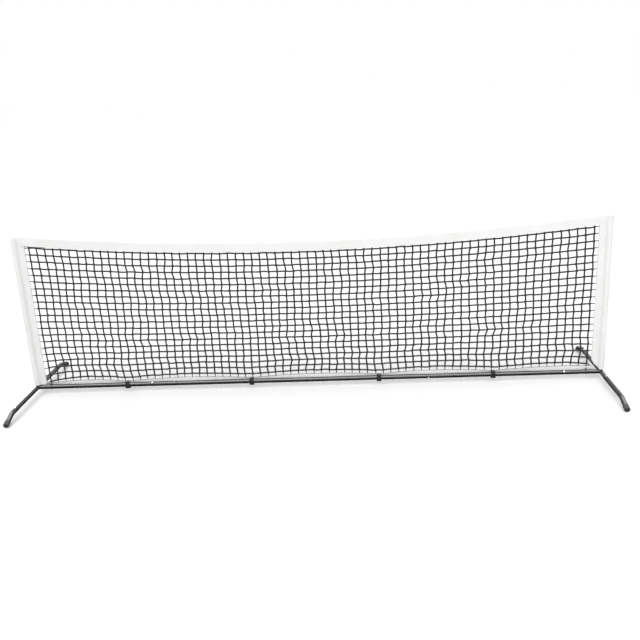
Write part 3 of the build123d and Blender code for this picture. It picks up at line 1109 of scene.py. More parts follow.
@dataclass
class MouthLips:
    """The rolled lip at each tube's mouth, where it meets the next tube's shoulder."""

    palette: Palette
    lines: NetLines
    lip_radius: float = 0.75 * MM
    sunk: float = 0.15 * MM  # its middle line below the tube's face
    flatness: float = 0.9  # of its section, outwards
    inset: float = 0.9 * MM
    steps: tuple[int, int] = (48, 8)
    leg_bodies: tuple[str, ...] = (
        "left_front_tip", "left_back_leg", "right_front_leg", "right_back_tip",
    )

    def lip(self, name: str, centre: Point, axis: int) -> Piece:
        """Models one lip round a tube.

        Args:
            name: Its name.
            centre: The middle of the ring.
            axis: The tube's axis, 0 for X, 1 for Y and 2 for Z.

        Returns:
            The lip.
        """
        radius = self.lines.rail_radius - self.sunk

        def place(angle: Array, section: Array) -> Array:
            """Lays the ring round the axis.

            Args:
                angle: Angles round the ring.
                section: Points of its section, outwards and up.

            Returns:
                The points.
            """
            reach = radius + section[:, 0] * self.flatness
            ring = np.stack([section[:, 1], reach * np.cos(angle), reach * np.sin(angle)], axis=1)
            return np.roll(ring, axis, axis=1) + centre

        return Workshop.ring(name, self.steps, (radius, self.lip_radius), place)

    def build_rail(self) -> None:
        """Makes the lips of the rail sections' mouths as one piece."""
        ends = [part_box("rail_section_1")[0][0] + self.inset]
        ends += [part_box(f"rail_section_{i}")[1][0] - self.inset for i in RAIL_SECTIONS]
        height = self.lines.rail_height
        lips = [self.lip(f"rail_lip_{i}", (x, 0.0, height), 0) for i, x in enumerate(ends)]
        piece = Workshop.join("rail_mouth_lips", lips)
        Workshop.present(piece, self.palette.lip, Slot.TUBE)

    def build_posts(self) -> None:
        """Makes the lips of the two posts' mouths."""
        for end in End:
            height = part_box(f"{end.side}_post")[0][2] + self.inset
            centre = (end.value * self.lines.post, 0.0, height)
            piece = self.lip(f"{end.side}_post_mouth_lip", centre, 2)
            Workshop.present(piece, self.palette.lip, Slot.TUBE)

    def build_legs(self) -> None:
        """Makes the lip of each leg's mouth, which moves with the leg."""
        for body in self.leg_bodies:
            low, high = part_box(body)
            x = (low[0] + high[0]) / 2
            y = high[1] - self.inset if "front" in body else low[1] + self.inset
            piece = self.lip(f"{body}_mouth_lip", (x, y, self.lines.rail_height), 1)
            Workshop.present(piece, self.palette.lip, Slot.TUBE, body)

    def build(self) -> None:
        """Makes every lip."""
        self.build_rail()
        self.build_posts()
        self.build_legs()


@dataclass
class WeldBeads:
    """The weld round the rail's stub and the post's spigot on each foot's cross tube."""

    palette: Palette
    lines: NetLines
    cross_radius: float = 11.15 * MM
    bead: float = 1.5 * MM
    spigot_bead: float = 0.9 * MM
    ripples: int = 26
    puddle: float = 0.16  # how much each ripple swells the bead
    wander: Wave = Wave(0.07, 3.0, 1.3)  # and how much it swells over longer runs
    spigot_step: float = 0.5 * MM  # the bead's middle line outside the spigot
    least_level: float = 0.25  # lowest and stub-side height of the spigot's bead, in tube radii
    stub_level: float = 1.02
    steps: tuple[int, int] = (104, 8)

    def rippled(self, angle: Array, section: Array) -> Array:
        """Swells and shrinks a bead's section along its run, as overlapping puddles do."""
        swell = 1 + self.puddle * np.abs(np.sin(angle * self.ripples / 2)) + self.wander.at(angle)
        return section * swell[:, None]

    def stub_bead(self, end: End) -> Piece:
        """Models the bead where the rail's stub meets the cross tube.

        Args:
            end: The foot that it is on.

        Returns:
            The bead.
        """
        stub = self.lines.rail_radius

        def place(angle: Array, section: Array) -> Array:
            """Lays the ring along the saddle of the two tubes.

            Args:
                angle: Angles round the ring.
                section: Points of its section, outwards and up.

            Returns:
                The points.
            """
            section = self.rippled(angle, section)
            reach = stub + section[:, 0]
            across, up = reach * np.cos(angle), reach * np.sin(angle)
            saddle = np.sqrt(np.clip(self.cross_radius**2 - (stub * np.sin(angle)) ** 2, 0, None))
            inwards = -end.value * (saddle + section[:, 1])
            x = end.value * self.lines.post + inwards
            return np.stack([x, -end.value * across, up + self.lines.rail_height], axis=1)

        return Workshop.ring(f"{end.side}_stub_weld", self.steps, (stub, self.bead), place)

    def spigot_weld(self, end: End) -> Piece:
        """Models the bead round the spigot's foot, below the post's mouth.

        Args:
            end: The foot that it is on.

        Returns:
            The bead.
        """
        cross = self.cross_radius

        def place(angle: Array, section: Array) -> Array:
            """Lays the ring round the spigot.

            Args:
                angle: Angles round the ring.
                section: Points of its section, outwards and up.

            Returns:
                The points.
            """
            section = self.rippled(angle, section)
            reach = cross + self.spigot_step + section[:, 0]
            across, deep = reach * np.cos(angle), reach * np.sin(angle)
            level = np.sqrt(np.clip(cross**2 - (cross * np.cos(angle)) ** 2, 0, None))
            level = np.where(end.value * np.cos(angle) < 0, cross * self.stub_level, level)
            level = np.clip(level, cross * self.least_level, None)
            z = self.lines.rail_height + level + section[:, 1]
            return np.stack([across + end.value * self.lines.post, deep, z], axis=1)

        return Workshop.ring(
            f"{end.side}_spigot_weld", self.steps, (cross, self.spigot_bead), place
        )

    def build(self) -> None:
        """Makes the beads of both feet."""
        for end in End:
            parts = [self.stub_bead(end), self.spigot_weld(end)]
            piece = Workshop.join(f"{end.side}_foot_welds", parts)
            Workshop.present(piece, self.palette.tube, Slot.TUBE)


@dataclass
class Netting:
    """The knotted net: upright cords, cross rows and a knot at each crossing."""

    palette: Palette
    lines: NetLines
    cord_radius: float = 4.5 * MM
    pinched: tuple[float, ...] = (2.1 * MM, 2.2 * MM, 2.6 * MM)  # radii at a cord's sewn-in end
    columns: int = 71
    rows: int = 21
    end_pitch: float = 0.55  # from the sleeve to the first upright, in pitches
    top_gap: float = 8 * MM  # from the band to the first row
    foot_gap: float = 22 * MM  # from the last row to the hem
    tuck: float = 5 * MM  # how far a cord goes into a binding
    even_rise: float = 0.6  # of the hem's arch, for the rows that don't follow it
    scallop_decay: float = 0.68  # from each row to the one above
    corner_drop: Pair = (18 * MM, 14 * MM)
    corner_reach: float = 75 * MM
    corner_decay: float = 0.78
    drift: float = 2.6 * MM  # size of each wave of the rows' sideways drift
    drift_waves: tuple[float, ...] = (0.42, 0.75, 1.6)  # lengths of the waves
    drift_turn: float = 0.75  # how much a wave's phase changes from row to row
    drift_kept: float = 0.45  # how much of a wave's size goes on to the next row
    drift_held: Pair = (90 * MM, 0.25)  # reach of the sleeves' hold, least share
    knot_scatter: Pair = (0.8 * MM, 0.6 * MM)  # of each knot, sideways and up
    knot_sizes: Point = (6.0 * MM, 5.4 * MM, 6.6 * MM)
    knot_nip: float = 0.16
    knot_tilt: Pair = (38.0, 9.0)  # degrees to either side, scatter
    knot_growth: float = 0.05  # scatter of the knots' sizes
    slack: float = 0.9 * MM
    substeps: int = 3
    sides: int = 6
    foot_step: float = 0.8 * MM  # how far a cord's foot stands back in the hem
    # a thin grey cord along the hem's top edge, which paints the shadow line there
    painted_shadow_line_radius: float = 1.2 * MM
    painted_shadow_line_rise: float = 1.4 * MM  # above the hem's edge
    painted_shadow_line_front: float = 3.4 * MM  # in front of the net's middle plane
    painted_shadow_line_steps: int = 640
    painted_shadow_line_sides: int = 8
    seed: int = 11

    def __post_init__(self) -> None:
        """Finds where every knot lies."""
        self.chance = np.random.default_rng(self.seed)
        pitch = 2 * self.lines.half_width / (self.columns - 1 + 2 * self.end_pitch)
        across = np.arange(self.columns) - (self.columns - 1) / 2
        base = np.broadcast_to(across * pitch, (self.rows, self.columns))
        x = base + self.sideways(base)
        self.knots = self.level(x, np.arange(self.rows)[:, None])

    def sideways(self, x: Array) -> Array:
        """How far each row's knots have drifted along it: in waves, and each a little by itself.

        Args:
            x: The knots' even places along the net, row by row.

        Returns:
            How far each one has drifted.
        """
        drift = np.zeros(x.shape)
        waves = np.array(self.drift_waves)
        count = len(waves)
        phase = self.chance.uniform(0, 2 * math.pi, count)
        size = np.zeros(count)
        for row in range(self.rows):
            phase = phase + self.chance.normal(0, self.drift_turn, count)
            size = self.drift_kept * size + self.chance.normal(0, self.drift, count)
            drift[row] = np.cos(2 * math.pi * x[row][:, None] / waves + phase) @ size
        reach, least = self.drift_held
        free = np.clip((self.lines.half_width - np.abs(x)) / reach, least, 1)
        return drift * free + self.chance.normal(0, self.knot_scatter[0], x.shape)

    def level(self, x: Array, row: Array) -> Array:
        """Puts points along the rows at their heights.

        Args:
            x: Places along the net.
            row: Each place's row, which may lie between two rows.

        Returns:
            The points, as (..., 3).
        """
        lines = self.lines
        share = row / (self.rows - 1)
        upper = lines.band_edge(x) - self.top_gap
        lower = lines.hem_edge(x) + self.foot_gap
        even = lines.rail_top + lines.reveals[1] + self.even_rise * lines.rise + self.foot_gap
        fade = self.scallop_decay ** (self.rows - 1 - row)
        z = upper * (1 - share) + even * share + (lower - even) * fade
        drop = np.where(x < 0, self.corner_drop[0], self.corner_drop[1])
        near_corner = np.exp(-(lines.half_width - np.abs(x)) / self.corner_reach)
        z = z - drop * near_corner * self.corner_decay ** (self.rows - 1 - row)
        z = z + self.chance.normal(0, self.knot_scatter[1], x.shape)
        return np.stack([x, lines.depth(z), z], axis=-1)

    def slackened(self, paths: Array) -> Array:
        """Adds points between the knots, where the cords bow a little.

        Args:
            paths: Points of each cord, as (cords, points, 3).

        Returns:
            The cords with more points.
        """
        count, steps, _ = paths.shape
        share = np.arange(self.substeps)[None, None, :, None] / self.substeps
        between = paths[:, :-1, None] * (1 - share) + paths[:, 1:, None] * share
        bow = self.chance.normal(0, self.slack, (count, steps - 1, 1, 3))
        between = between + bow * np.sin(math.pi * share)
        fine = between.reshape(count, -1, 3)
        return np.concatenate([fine, paths[:, -1:]], axis=1)

    def cords(self, name: str, paths: Array) -> Piece:
        """Makes cords along paths, pinched thinner at both ends, where a binding holds them.

        Args:
            name: Name of the new piece.
            paths: Points of each cord, as (cords, points, 3).

        Returns:
            The cords as one piece.
        """
        fine = self.slackened(paths)
        radius = np.full(fine.shape[1], self.cord_radius)
        radius[: len(self.pinched)] = self.pinched
        radius[-len(self.pinched) :] = self.pinched[::-1]
        return Workshop.cords(name, fine, radius, self.sides)

    def build_uprights(self) -> Piece:
        """Makes the upright cords, from the band through every row into the hem.

        Returns:
            The cords as one piece.
        """
        lines = self.lines
        first, last = self.knots[0], self.knots[-1]
        top = first.copy()
        top[:, 2] = lines.band_edge(first[:, 0]) + self.tuck
        foot = last.copy()
        foot[:, 2] = lines.hem_edge(last[:, 0]) - self.tuck
        foot[:, 1] = lines.depth(foot[:, 2]) + self.foot_step
        paths = np.concatenate([top[None], self.knots, foot[None]]).transpose(1, 0, 2)
        return self.cords("net_upright_cords", paths)

    def build_rows(self) -> Piece:
        """Makes the rows, from one sleeve to the other, the last one down to the right hem.

        Returns:
            The rows as one piece.
        """
        edge = self.lines.half_width + self.tuck
        rows = np.arange(self.rows)[:, None]
        ends = [self.level(np.full((self.rows, 1), side * edge), rows) for side in (-1, 1)]
        ends[1][-1, 0, 2] = self.lines.hem_edge(np.array([edge]))[0] - self.tuck
        paths = np.concatenate([ends[0], self.knots, ends[1]], axis=1)
        return self.cords("net_row_cords", paths)

    def knot(self) -> Piece:
        """Models one knot: a lump with the nip of the cord that is pulled tight round it.

        Returns:
            The knot, at the origin.
        """
        Workshop.clear_selection()
        bpy.ops.mesh.primitive_uv_sphere_add(segments=6, ring_count=5, radius=1.0)
        piece = Workshop.take("knot")
        shape = Workshop.points(piece)
        nip = 1 - self.knot_nip * np.cos(shape[:, 2:] * math.pi)
        Workshop.move_points(piece, shape * nip * np.array(self.knot_sizes))
        return piece

    def build_knots(self) -> Piece:
        """Makes the knot at each crossing, each turned its own way.

        Returns:
            The knots as one piece.
        """
        lean, scatter = self.knot_tilt
        places = []
        for row in range(self.rows):
            for column in range(self.columns):
                way = 1 if (row + column) % 2 else -1
                tilt = math.radians(lean * way + self.chance.normal(0, scatter))
                size = self.chance.normal(1.0, self.knot_growth)
                twist = Matrix.Rotation(self.chance.uniform(0, 1), 4, "Z")
                turn = Matrix.Rotation(tilt, 4, "Y") @ twist
                spot = Matrix.Translation(self.knots[row, column])
                places.append(spot @ turn @ Matrix.Scale(size, 4))
        return Workshop.copies("net_knots", self.knot(), places)

    def build_painted_shadow_line(self) -> Piece:
        """Makes the thin grey cord along the hem's upper edge, in front of the cords: a painted
        shadow line.

        Returns:
            The line.
        """
        x = np.linspace(-self.lines.half_width, self.lines.half_width, self.painted_shadow_line_steps)
        z = self.lines.hem_edge(x) + self.painted_shadow_line_rise
        y = self.lines.depth(z) - self.painted_shadow_line_front
        path = np.stack([x, y, z], axis=1)
        radius = self.painted_shadow_line_radius
        return Workshop.cords("net_painted_shadow_line", path[None], radius, self.painted_shadow_line_sides)

    def build(self) -> None:
        """Makes the whole net and lets it stand for the plain panel."""
        uprights = self.build_uprights()
        rows = self.build_rows()
        knots = self.build_knots()
        painted_shadow_line = self.build_painted_shadow_line()
        Workshop.present(uprights, self.palette.netting, Slot.NETTING, node="net_panel")
        Workshop.present(rows, self.palette.netting, Slot.NETTING)
        Workshop.present(knots, self.palette.knot, Slot.NETTING)
        Workshop.present(painted_shadow_line, self.palette.painted_shadow_line, Slot.NETTING)


@dataclass
class TopBand:
    """The white tape that is folded over the net's top and sewn down."""

    palette: Palette
    lines: NetLines
    cloth: float = 0.7 * MM
    half_gap: float = 3.2 * MM
    lap: float = 26 * MM  # how far it laps over the sleeves
    lap_swell: float = 0.5 * MM  # how much the tape's halves stand further apart over a sleeve
    lap_lift: float = 0.4 * MM
    lap_start: float = 12 * MM
    edge_waves: tuple[Wave, ...] = (
        Wave(0.45 * MM, 9.1, 0.7),
        Wave(0.315 * MM, 23.0, turn=2.1),
        Wave(0.225 * MM, 51.0, turn=-1.0),
    )
    fall_wave: Wave = Wave(0.6 * MM, 17.0, 1.1)
    seam_rises: Pair = (5 * MM, 8.5 * MM)  # stitches above the lower edge
    seam_points: int = 600
    thread_step: float = 0.1 * MM  # the thread's line outside the cloth
    tack_rises: Pair = (9 * MM, 13 * MM)  # wavy rows that hold the ends
    tack_wave: float = 1.3 * MM
    tack_length: float = 9 * MM
    tack_points: int = 60
    steps: tuple[int, int] = (420, 26)

    @property
    def reach(self) -> float:
        """Half the tape's length."""
        return self.lines.half_width + self.lap

    @property
    def girth(self) -> float:
        """Half the tape's width, from the fold to an edge."""
        return self.lines.band_height - self.half_gap + self.half_gap * math.pi / 2

    def place(self, u: Array, v: Array) -> Array:
        """Lays the tape: u along the net, v from the front edge over the fold to the back edge.

        Args:
            u: Shares of the way along the net.
            v: Shares of the way from the front edge to the back one.

        Returns:
            The points.
        """
        x = (2 * u - 1) * self.reach
        from_fold = (2 * v - 1) * self.girth
        past_start = np.abs(x) - self.lines.half_width + self.lap_start
        lapped = np.clip(past_start / self.lap_start, 0, 1)
        gap = self.half_gap + self.lap_swell * lapped
        bend = np.clip(from_fold / gap, -math.pi / 2, math.pi / 2)
        fall = np.clip(np.abs(from_fold) - gap * math.pi / 2, 0, None)
        front = np.sign(from_fold)
        hang = fall / self.lines.band_height
        y = gap * np.sin(bend) + ripple(self.edge_waves, x, front) * hang
        z = self.lines.top_edge(x) - gap + gap * np.cos(bend) - fall
        z = z + self.fall_wave.at(x) * hang + self.lap_lift * lapped
        return np.stack([x, y, z], axis=1)

    def seam(self, v: float, side: float) -> Seam:
        """The line of a seam at a share of the tape's width, and its outward directions.

        Args:
            v: The share of the tape's width.
            side: -1 for the front face, 1 for the back one.

        Returns:
            The line and its outward directions.
        """
        u = np.linspace(0.002, 0.998, self.seam_points)
        line = self.place(u, np.full(u.shape, v))
        line[:, 1] += side * self.thread_step
        return line, np.tile((0.0, side, 0.0), (len(u), 1))

    def tack(self, end: End, rise: float, side: float) -> Seam:
        """A wavy seam across the tape's lap at an end, at a rise above its lower edge.

        Args:
            end: The end.
            rise: Its height above the lower edge.
            side: -1 for the front face, 1 for the back one.

        Returns:
            The line and its outward directions.
        """
        run = np.linspace(0.0, self.lap - 2 * MM, self.tack_points)
        x = self.reach - 1 * MM - run
        u = (1 + end.value * x / self.reach) / 2
        wave = self.tack_wave * np.sin(run * 2 * math.pi / self.tack_length)
        share = (rise + wave) / (2 * self.girth)
        line = self.place(u, share if side < 0 else 1 - share)
        line[:, 1] += side * self.thread_step
        return line, np.tile((0.0, side, 0.0), (len(u), 1))

    def build(self) -> None:
        """Makes the tape, its two rows of stitches on each face and the tacks at its ends."""
        size = (2 * self.reach, 2 * self.girth)
        tape = Workshop.cloth("top_band_tape", self.steps, size, self.place)
        Workshop.thicken(tape, self.cloth)
        Workshop.smooth(tape, CLOTH_EDGE)
        Workshop.present(tape, self.palette.binding, Slot.BINDING, node="top_band")
        seams = []
        for rise in self.seam_rises:
            share = rise / (2 * self.girth)
            seams += [self.seam(share, -1.0), self.seam(1 - share, 1.0)]
        tacks = [
            self.tack(end, rise, side)
            for end in End for rise in self.tack_rises for side in (-1.0, 1.0)
        ]
        white, grey = self.palette.white_thread, self.palette.grey_thread
        thread = Stitching.sew("top_band_stitches", seams, white, Slot.BINDING)
        tacking = Stitching.sew("top_band_end_tacks", tacks, grey, Slot.BINDING)


@dataclass
class BottomBand:
    """The white hem along the net's foot, folded up from below and tucked behind the rail."""

    palette: Palette
    lines: NetLines
    cloth: float = 0.6 * MM
    height: float = 22 * MM
    mouth_gap: float = 3.1 * MM  # half its thickness at its open edge
    fold_gap: float = 1.3 * MM  # half its thickness at its fold
    clearance: float = 0.4 * MM
    lap: float = 16 * MM
    shut_depth: float = 10 * MM  # below its edge, where its halves have come together
    fullness: float = 1.15  # how evenly the cloth's width goes down and up again
    fold_share: float = 1 / 9  # of a half's width, that the round of the fold takes
    edge_waves: tuple[Wave, ...] = (Wave(0.35 * MM, 31.0, 0.4), Wave(0.25 * MM, 67.0, 1.9))
    rise_wave: Wave = Wave(0.5 * MM, 41.0, 2.2)
    seam_shares: Pair = (0.10, 0.90)
    seam_points: int = 700
    seam_depth: float = 4 * MM
    steps: tuple[int, int] = (460, 30)

    @property
    def reach(self) -> float:
        """Half the hem's length."""
        return self.lines.half_width + self.lap

    def spine(self, x: Array, down: Array) -> Seam:
        """The hem's middle surface: straight down to the rail's back, then round it.

        Args:
            x: Places along the net.
            down: Distances down the cloth from its upper edge.

        Returns:
            The points and their directions away from the rail, each as (n, 2) of Y and Z.
        """
        lines = self.lines
        start_z = lines.hem_edge(x)
        start = np.stack([lines.depth(start_z), start_z - lines.rail_height], axis=1)
        radius = lines.rail_radius + self.clearance + self.fold_gap
        away = np.linalg.norm(start, axis=1)
        touch = np.arctan2(start[:, 0], start[:, 1]) + np.arccos(np.clip(radius / away, -1, 1))
        straight = np.sqrt(np.clip(away**2 - radius**2, 0, None))
        angle = touch + np.clip(down - straight, 0, None) / radius
        tail = np.clip(straight - down, 0, None)
        out = np.stack([np.sin(angle), np.cos(angle)], axis=1)
        back = np.stack([-np.cos(angle), np.sin(angle)], axis=1)
        point = radius * out + back * tail[:, None]
        point[:, 1] += lines.rail_height
        return point, out

    def place(self, u: Array, v: Array) -> Array:
        """Lays the hem: u along the net, v from its back edge round the fold to its front edge.

        Args:
            u: Shares of the way along the net.
            v: Shares of the way from the back edge to the front one.

        Returns:
            The points.
        """
        x = (2 * u - 1) * self.reach
        across = 2 * v - 1
        down = self.height * (1 - np.abs(across) ** self.fullness)
        point, out = self.spine(x, down)
        shut = np.clip(down / self.shut_depth, 0, 1)
        half = self.mouth_gap + (self.fold_gap - self.mouth_gap) * eased(shut)
        half = half * np.sqrt(np.clip(np.abs(across) / self.fold_share, 0, 1))
        sway = ripple(self.edge_waves, x) * (1 - shut) - np.sign(across) * half
        point = point + out * sway[:, None]
        point[:, 1] += self.rise_wave.at(x) * (1 - shut)
        return np.stack([x, point[:, 0], point[:, 1]], axis=1)

    def seam(self, v: float) -> Seam:
        """The line of a seam at a share of the hem's width, and its outward directions.

        Args:
            v: The share of the hem's width.

        Returns:
            The line and its outward directions.
        """
        u = np.linspace(0.002, 0.998, self.seam_points)
        line = self.place(u, np.full(u.shape, v))
        x = line[:, 0]
        out = self.spine(x, np.full(x.shape, self.seam_depth))[1] * (1.0 if v < 0.5 else -1.0)
        return line, np.stack([np.zeros(len(x)), out[:, 0], out[:, 1]], axis=1)

    def build(self) -> None:
        """Makes the hem and the stitches along its edges."""
        size = (2 * self.reach, 2 * self.height)
        hem = Workshop.cloth("bottom_band_hem", self.steps, size, self.place)
        Workshop.thicken(hem, self.cloth)
        Workshop.smooth(hem, CLOTH_EDGE)
        Workshop.present(hem, self.palette.hem, Slot.BINDING, node="bottom_band")
        seams = [self.seam(share) for share in self.seam_shares]
        white = self.palette.white_thread
        thread = Stitching.sew("bottom_band_stitches", seams, white, Slot.BINDING)


@dataclass
class Sleeve:
    """A white sleeve over a post: a pocket closed at its top, and a flat web towards the net."""

    palette: Palette
    lines: NetLines
    end: End
    cut: float = 0.0  # how far the web's lower edge rises towards the net
    cut_start: float = 10 * MM  # from the post's axis
    cloth: float = 0.8 * MM
    pocket: float = 18.2 * MM
    web_gap: float = 1.9 * MM
    mouth_gap: float = 1.6 * MM  # how much wider the web's inner edge opens for the cords
    web_reach: float = 53 * MM
    corner: float = 6 * MM  # radius where the pocket turns into the web
    shoulder: float = 3 * MM  # rounding at the pocket's top
    web_start: float = 12 * MM  # from the post's axis, where the pocket gives way to the web
    web_folds: float = 0.8  # the folds' size on the web
    pull: Wave = Wave(2.2 * MM, 160.0)  # of the web's inner edge near its foot
    pull_reach: float = 60 * MM
    mouth_reach: float = 9 * MM
    fold_waves: tuple[Wave, ...] = (  # up the sleeve, turned by the share of the way round it
        Wave(0.5 * MM, 2.5, turn=6 * math.pi),
        Wave(0.35 * MM, 55.0, turn=16.0),
        Wave(0.4 * MM, 23.0, 1.0, -9.0),
    )
    top_wave: Wave = Wave(0.5 * MM, 90.0, turn=10 * math.pi)
    top_reach: float = 80 * MM
    weld_distance: float = 0.02 * MM
    seam_insets: Pair = (3 * MM, 1 * MM)  # from the web's inner edge and its fold
    seam_start: float = 0.01
    seam_points: int = 260
    thread_step: float = 0.15 * MM
    steps: tuple[int, int] = (96, 150)
    roof_rows: int = 10
    unsewn_rows: int = 12

    @property
    def corner_x(self) -> float:
        """Where the web's flat ends and the corner begins, from the post's axis."""
        return math.sqrt((self.pocket + self.corner) ** 2 - (self.web_gap + self.corner) ** 2)

    @property
    def stretches(self) -> Point:
        """Lengths of the web, a corner and the pocket along the outline.

        Returns:
            The three lengths.
        """
        open_angle = math.atan2(self.web_gap + self.corner, self.corner_x)
        return (
            self.web_reach - self.corner_x,
            self.corner * (math.pi / 2 - open_angle),
            self.pocket * 2 * (math.pi - open_angle),
        )

    @property
    def girth(self) -> float:
        """Length of the whole outline."""
        web, corner, pocket = self.stretches
        return 2 * (web + corner) + pocket

    def outline(self, run: Array) -> Array:
        """Points of the outline seen from above, from the web's back edge round the post.

        Args:
            run: Distances along the outline.

        Returns:
            The points as (n, 2), from the post's axis, X towards the net.
        """
        web, corner, _ = self.stretches
        mirrored = run > self.girth / 2
        near = np.where(mirrored, self.girth - run, run)
        open_angle = math.atan2(self.web_gap + self.corner, self.corner_x)
        on_corner = np.clip(near - web, 0, corner) / self.corner
        on_pocket = np.clip(near - web - corner, 0, None) / self.pocket
        centre_y = self.web_gap + self.corner
        turn = -math.pi / 2 - on_corner
        x = self.corner_x + self.corner * np.cos(turn)
        y = centre_y + self.corner * np.sin(turn)
        x = np.where(near < web, self.web_reach - near, x)
        y = np.where(near < web, self.web_gap, y)
        angle = open_angle + on_pocket
        x = np.where(near > web + corner, self.pocket * np.cos(angle), x)
        y = np.where(near > web + corner, self.pocket * np.sin(angle), y)
        return np.stack([x, np.where(mirrored, -y, y)], axis=1)

    def place(self, u: Array, v: Array) -> Array:
        """Hangs the sleeve: u round the post, v from its lower edge up and over its top.

        Args:
            u: Shares of the way along the outline.
            v: Shares of the way up and over.

        Returns:
            The points.
        """
        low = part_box(f"{self.end.side}_sleeve")[0][2]
        roof_start = 1 - self.roof_rows / self.steps[1]
        point = self.outline(u * self.girth)
        wall = np.clip(v / roof_start, 0, 1)
        roof = np.clip((v - roof_start) / (1 - roof_start), 0, 1)
        cut_length = self.web_reach - self.cut_start
        foot = low + self.cut * np.clip((point[:, 0] - self.cut_start) / cut_length, 0, 1)
        z = foot + wall * (self.lines.top - self.shoulder - foot)
        bend = np.clip(roof * 2, 0, 1) * math.pi / 2
        z = z + self.shoulder * np.sin(bend)
        inset = self.shoulder * (1 - np.cos(bend)) / self.pocket
        on_web = np.clip(point[:, 0] / self.web_start - 1, 0, 1)
        closing = np.clip(roof * 2 - 1, 0, 1)
        spread = point[:, 0] * (1 - inset * (1 - on_web))
        deep = point[:, 1] * (1 - inset) * (1 - closing)
        folds = self.folds(u, z) * (1 - roof)
        size = np.maximum(np.hypot(point[:, 0], point[:, 1]), 1 * MM)
        spread = spread + folds * (1 - on_web) * point[:, 0] / size
        deep = deep + folds * (point[:, 1] / size * (1 - on_web) + self.web_folds * on_web)
        near_foot = np.clip(1 - (z - foot) / self.pull_reach, 0, 1)
        spread = spread + self.pull.at(z) * near_foot**2 * on_web
        mouth = np.clip(1 - (self.web_reach - point[:, 0]) / self.mouth_reach, 0, 1)
        deep = deep + np.sign(point[:, 1]) * self.mouth_gap * mouth * mouth * (1 - closing)
        toward_net = -self.end.value
        x = self.end.value * self.lines.post + toward_net * spread
        return np.stack([x, toward_net * deep, z], axis=1)

    def folds(self, u: Array, z: Array) -> Array:
        """The cloth's shallow folds: long ones down the pocket and drag lines off the corners."""
        near_top = np.exp(-(self.lines.top - z) / self.top_reach)
        return ripple(self.fold_waves, z, u) + near_top * self.top_wave.at(z, u)

    def seam(self, u: float, start: float, stop: float) -> Seam:
        """An upright seam at a share of the outline, and its outward directions.

        Args:
            u: The share of the outline.
            start: Where it starts, as a share of the height.
            stop: Where it stops.

        Returns:
            The line and its outward directions.
        """
        v = np.linspace(start, stop, self.seam_points)
        line = self.place(np.full(v.shape, u), v)
        side = -self.end.value if u < 0.5 else self.end.value
        line[:, 1] += side * self.thread_step
        return line, np.tile((0.0, float(side), 0.0), (len(v), 1))

    def build(self) -> None:
        """Makes the sleeve and its seams."""
        side = self.end.side
        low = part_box(f"{side}_sleeve")[0][2]
        size = (self.girth, self.lines.top - low + self.pocket)
        sleeve = Workshop.cloth(f"{side}_post_sleeve", self.steps, size, self.place)
        Workshop.weld(sleeve, self.weld_distance)
        Workshop.thicken(sleeve, self.cloth)
        Workshop.smooth(sleeve, CLOTH_EDGE)
        Workshop.present(sleeve, self.palette.binding, Slot.BINDING, node=f"{side}_sleeve")
        top = 1 - (self.roof_rows + self.unsewn_rows) / self.steps[1]
        from_edge, from_fold = self.seam_insets
        shares = [from_edge / self.girth, (self.stretches[0] - from_fold) / self.girth]
        shares += [1 - share for share in shares]
        seams = [self.seam(share, self.seam_start, top) for share in shares]
        white = self.palette.white_thread
        thread = Stitching.sew(f"{side}_sleeve_stitches", seams, white, Slot.BINDING)


@dataclass
class HeadCord:
    """The braided cord in the top band, which shows below it at the left end."""

    palette: Palette
    lines: NetLines
    radius: float = 2.0 * MM
    below: float = 2.4 * MM  # under the band's edge where it shows
    inside: float = 4.5 * MM  # above the band's edge where it is hidden
    shown_to: float = 165 * MM  # from the left sleeve
    fade: float = 90 * MM  # over which it goes up into the band
    end_slope: float = 0.105  # inside the sleeves
    eye_radius: float = 14.9 * MM
    eye_steps: tuple[int, int] = (40, 10)
    steps: int = 360
    sides: int = 10

    def build(self) -> None:
        """Makes the cord and the eye round each post."""
        lines = self.lines
        reach = lines.post - self.eye_radius
        x = np.linspace(-reach, reach, self.steps)
        shown = np.clip((-lines.half_width + self.shown_to - x) / self.fade, 0, 1)
        past_net = np.clip(np.abs(x) - lines.half_width, 0, None)
        edge = lines.band_edge(x) + self.end_slope * past_net
        z = edge + self.inside - (self.inside + self.below) * eased(shown)
        path = np.stack([x, np.zeros(self.steps), z], axis=1)
        cord = Workshop.cords("head_cord_run", path[None], self.radius, self.sides)
        eyes = [self.eye(side, z[0] if side < 0 else z[-1]) for side in (-1, 1)]
        piece = Workshop.join("head_cord_line", [cord, *eyes])
        Workshop.present(piece, self.palette.head_cord, Slot.CORD, node="head_cord")

    def eye(self, side: int, height: float) -> Piece:
        """Models the eye round a post.

        Args:
            side: -1 for the left post, 1 for the right one.
            height: The height of its middle line.

        Returns:
            The eye.
        """

        def place(angle: Array, section: Array) -> Array:
            """Lays the ring round the post.

            Args:
                angle: Angles round the ring.
                section: Points of its section, outwards and up.

            Returns:
                The points.
            """
            reach = self.eye_radius + section[:, 0]
            x = side * self.lines.post + reach * np.cos(angle)
            return np.stack([x, reach * np.sin(angle), height + section[:, 1]], axis=1)

        radii = (self.eye_radius, self.radius)
        return Workshop.ring(f"cord_eye_{side}", self.eye_steps, radii, place)


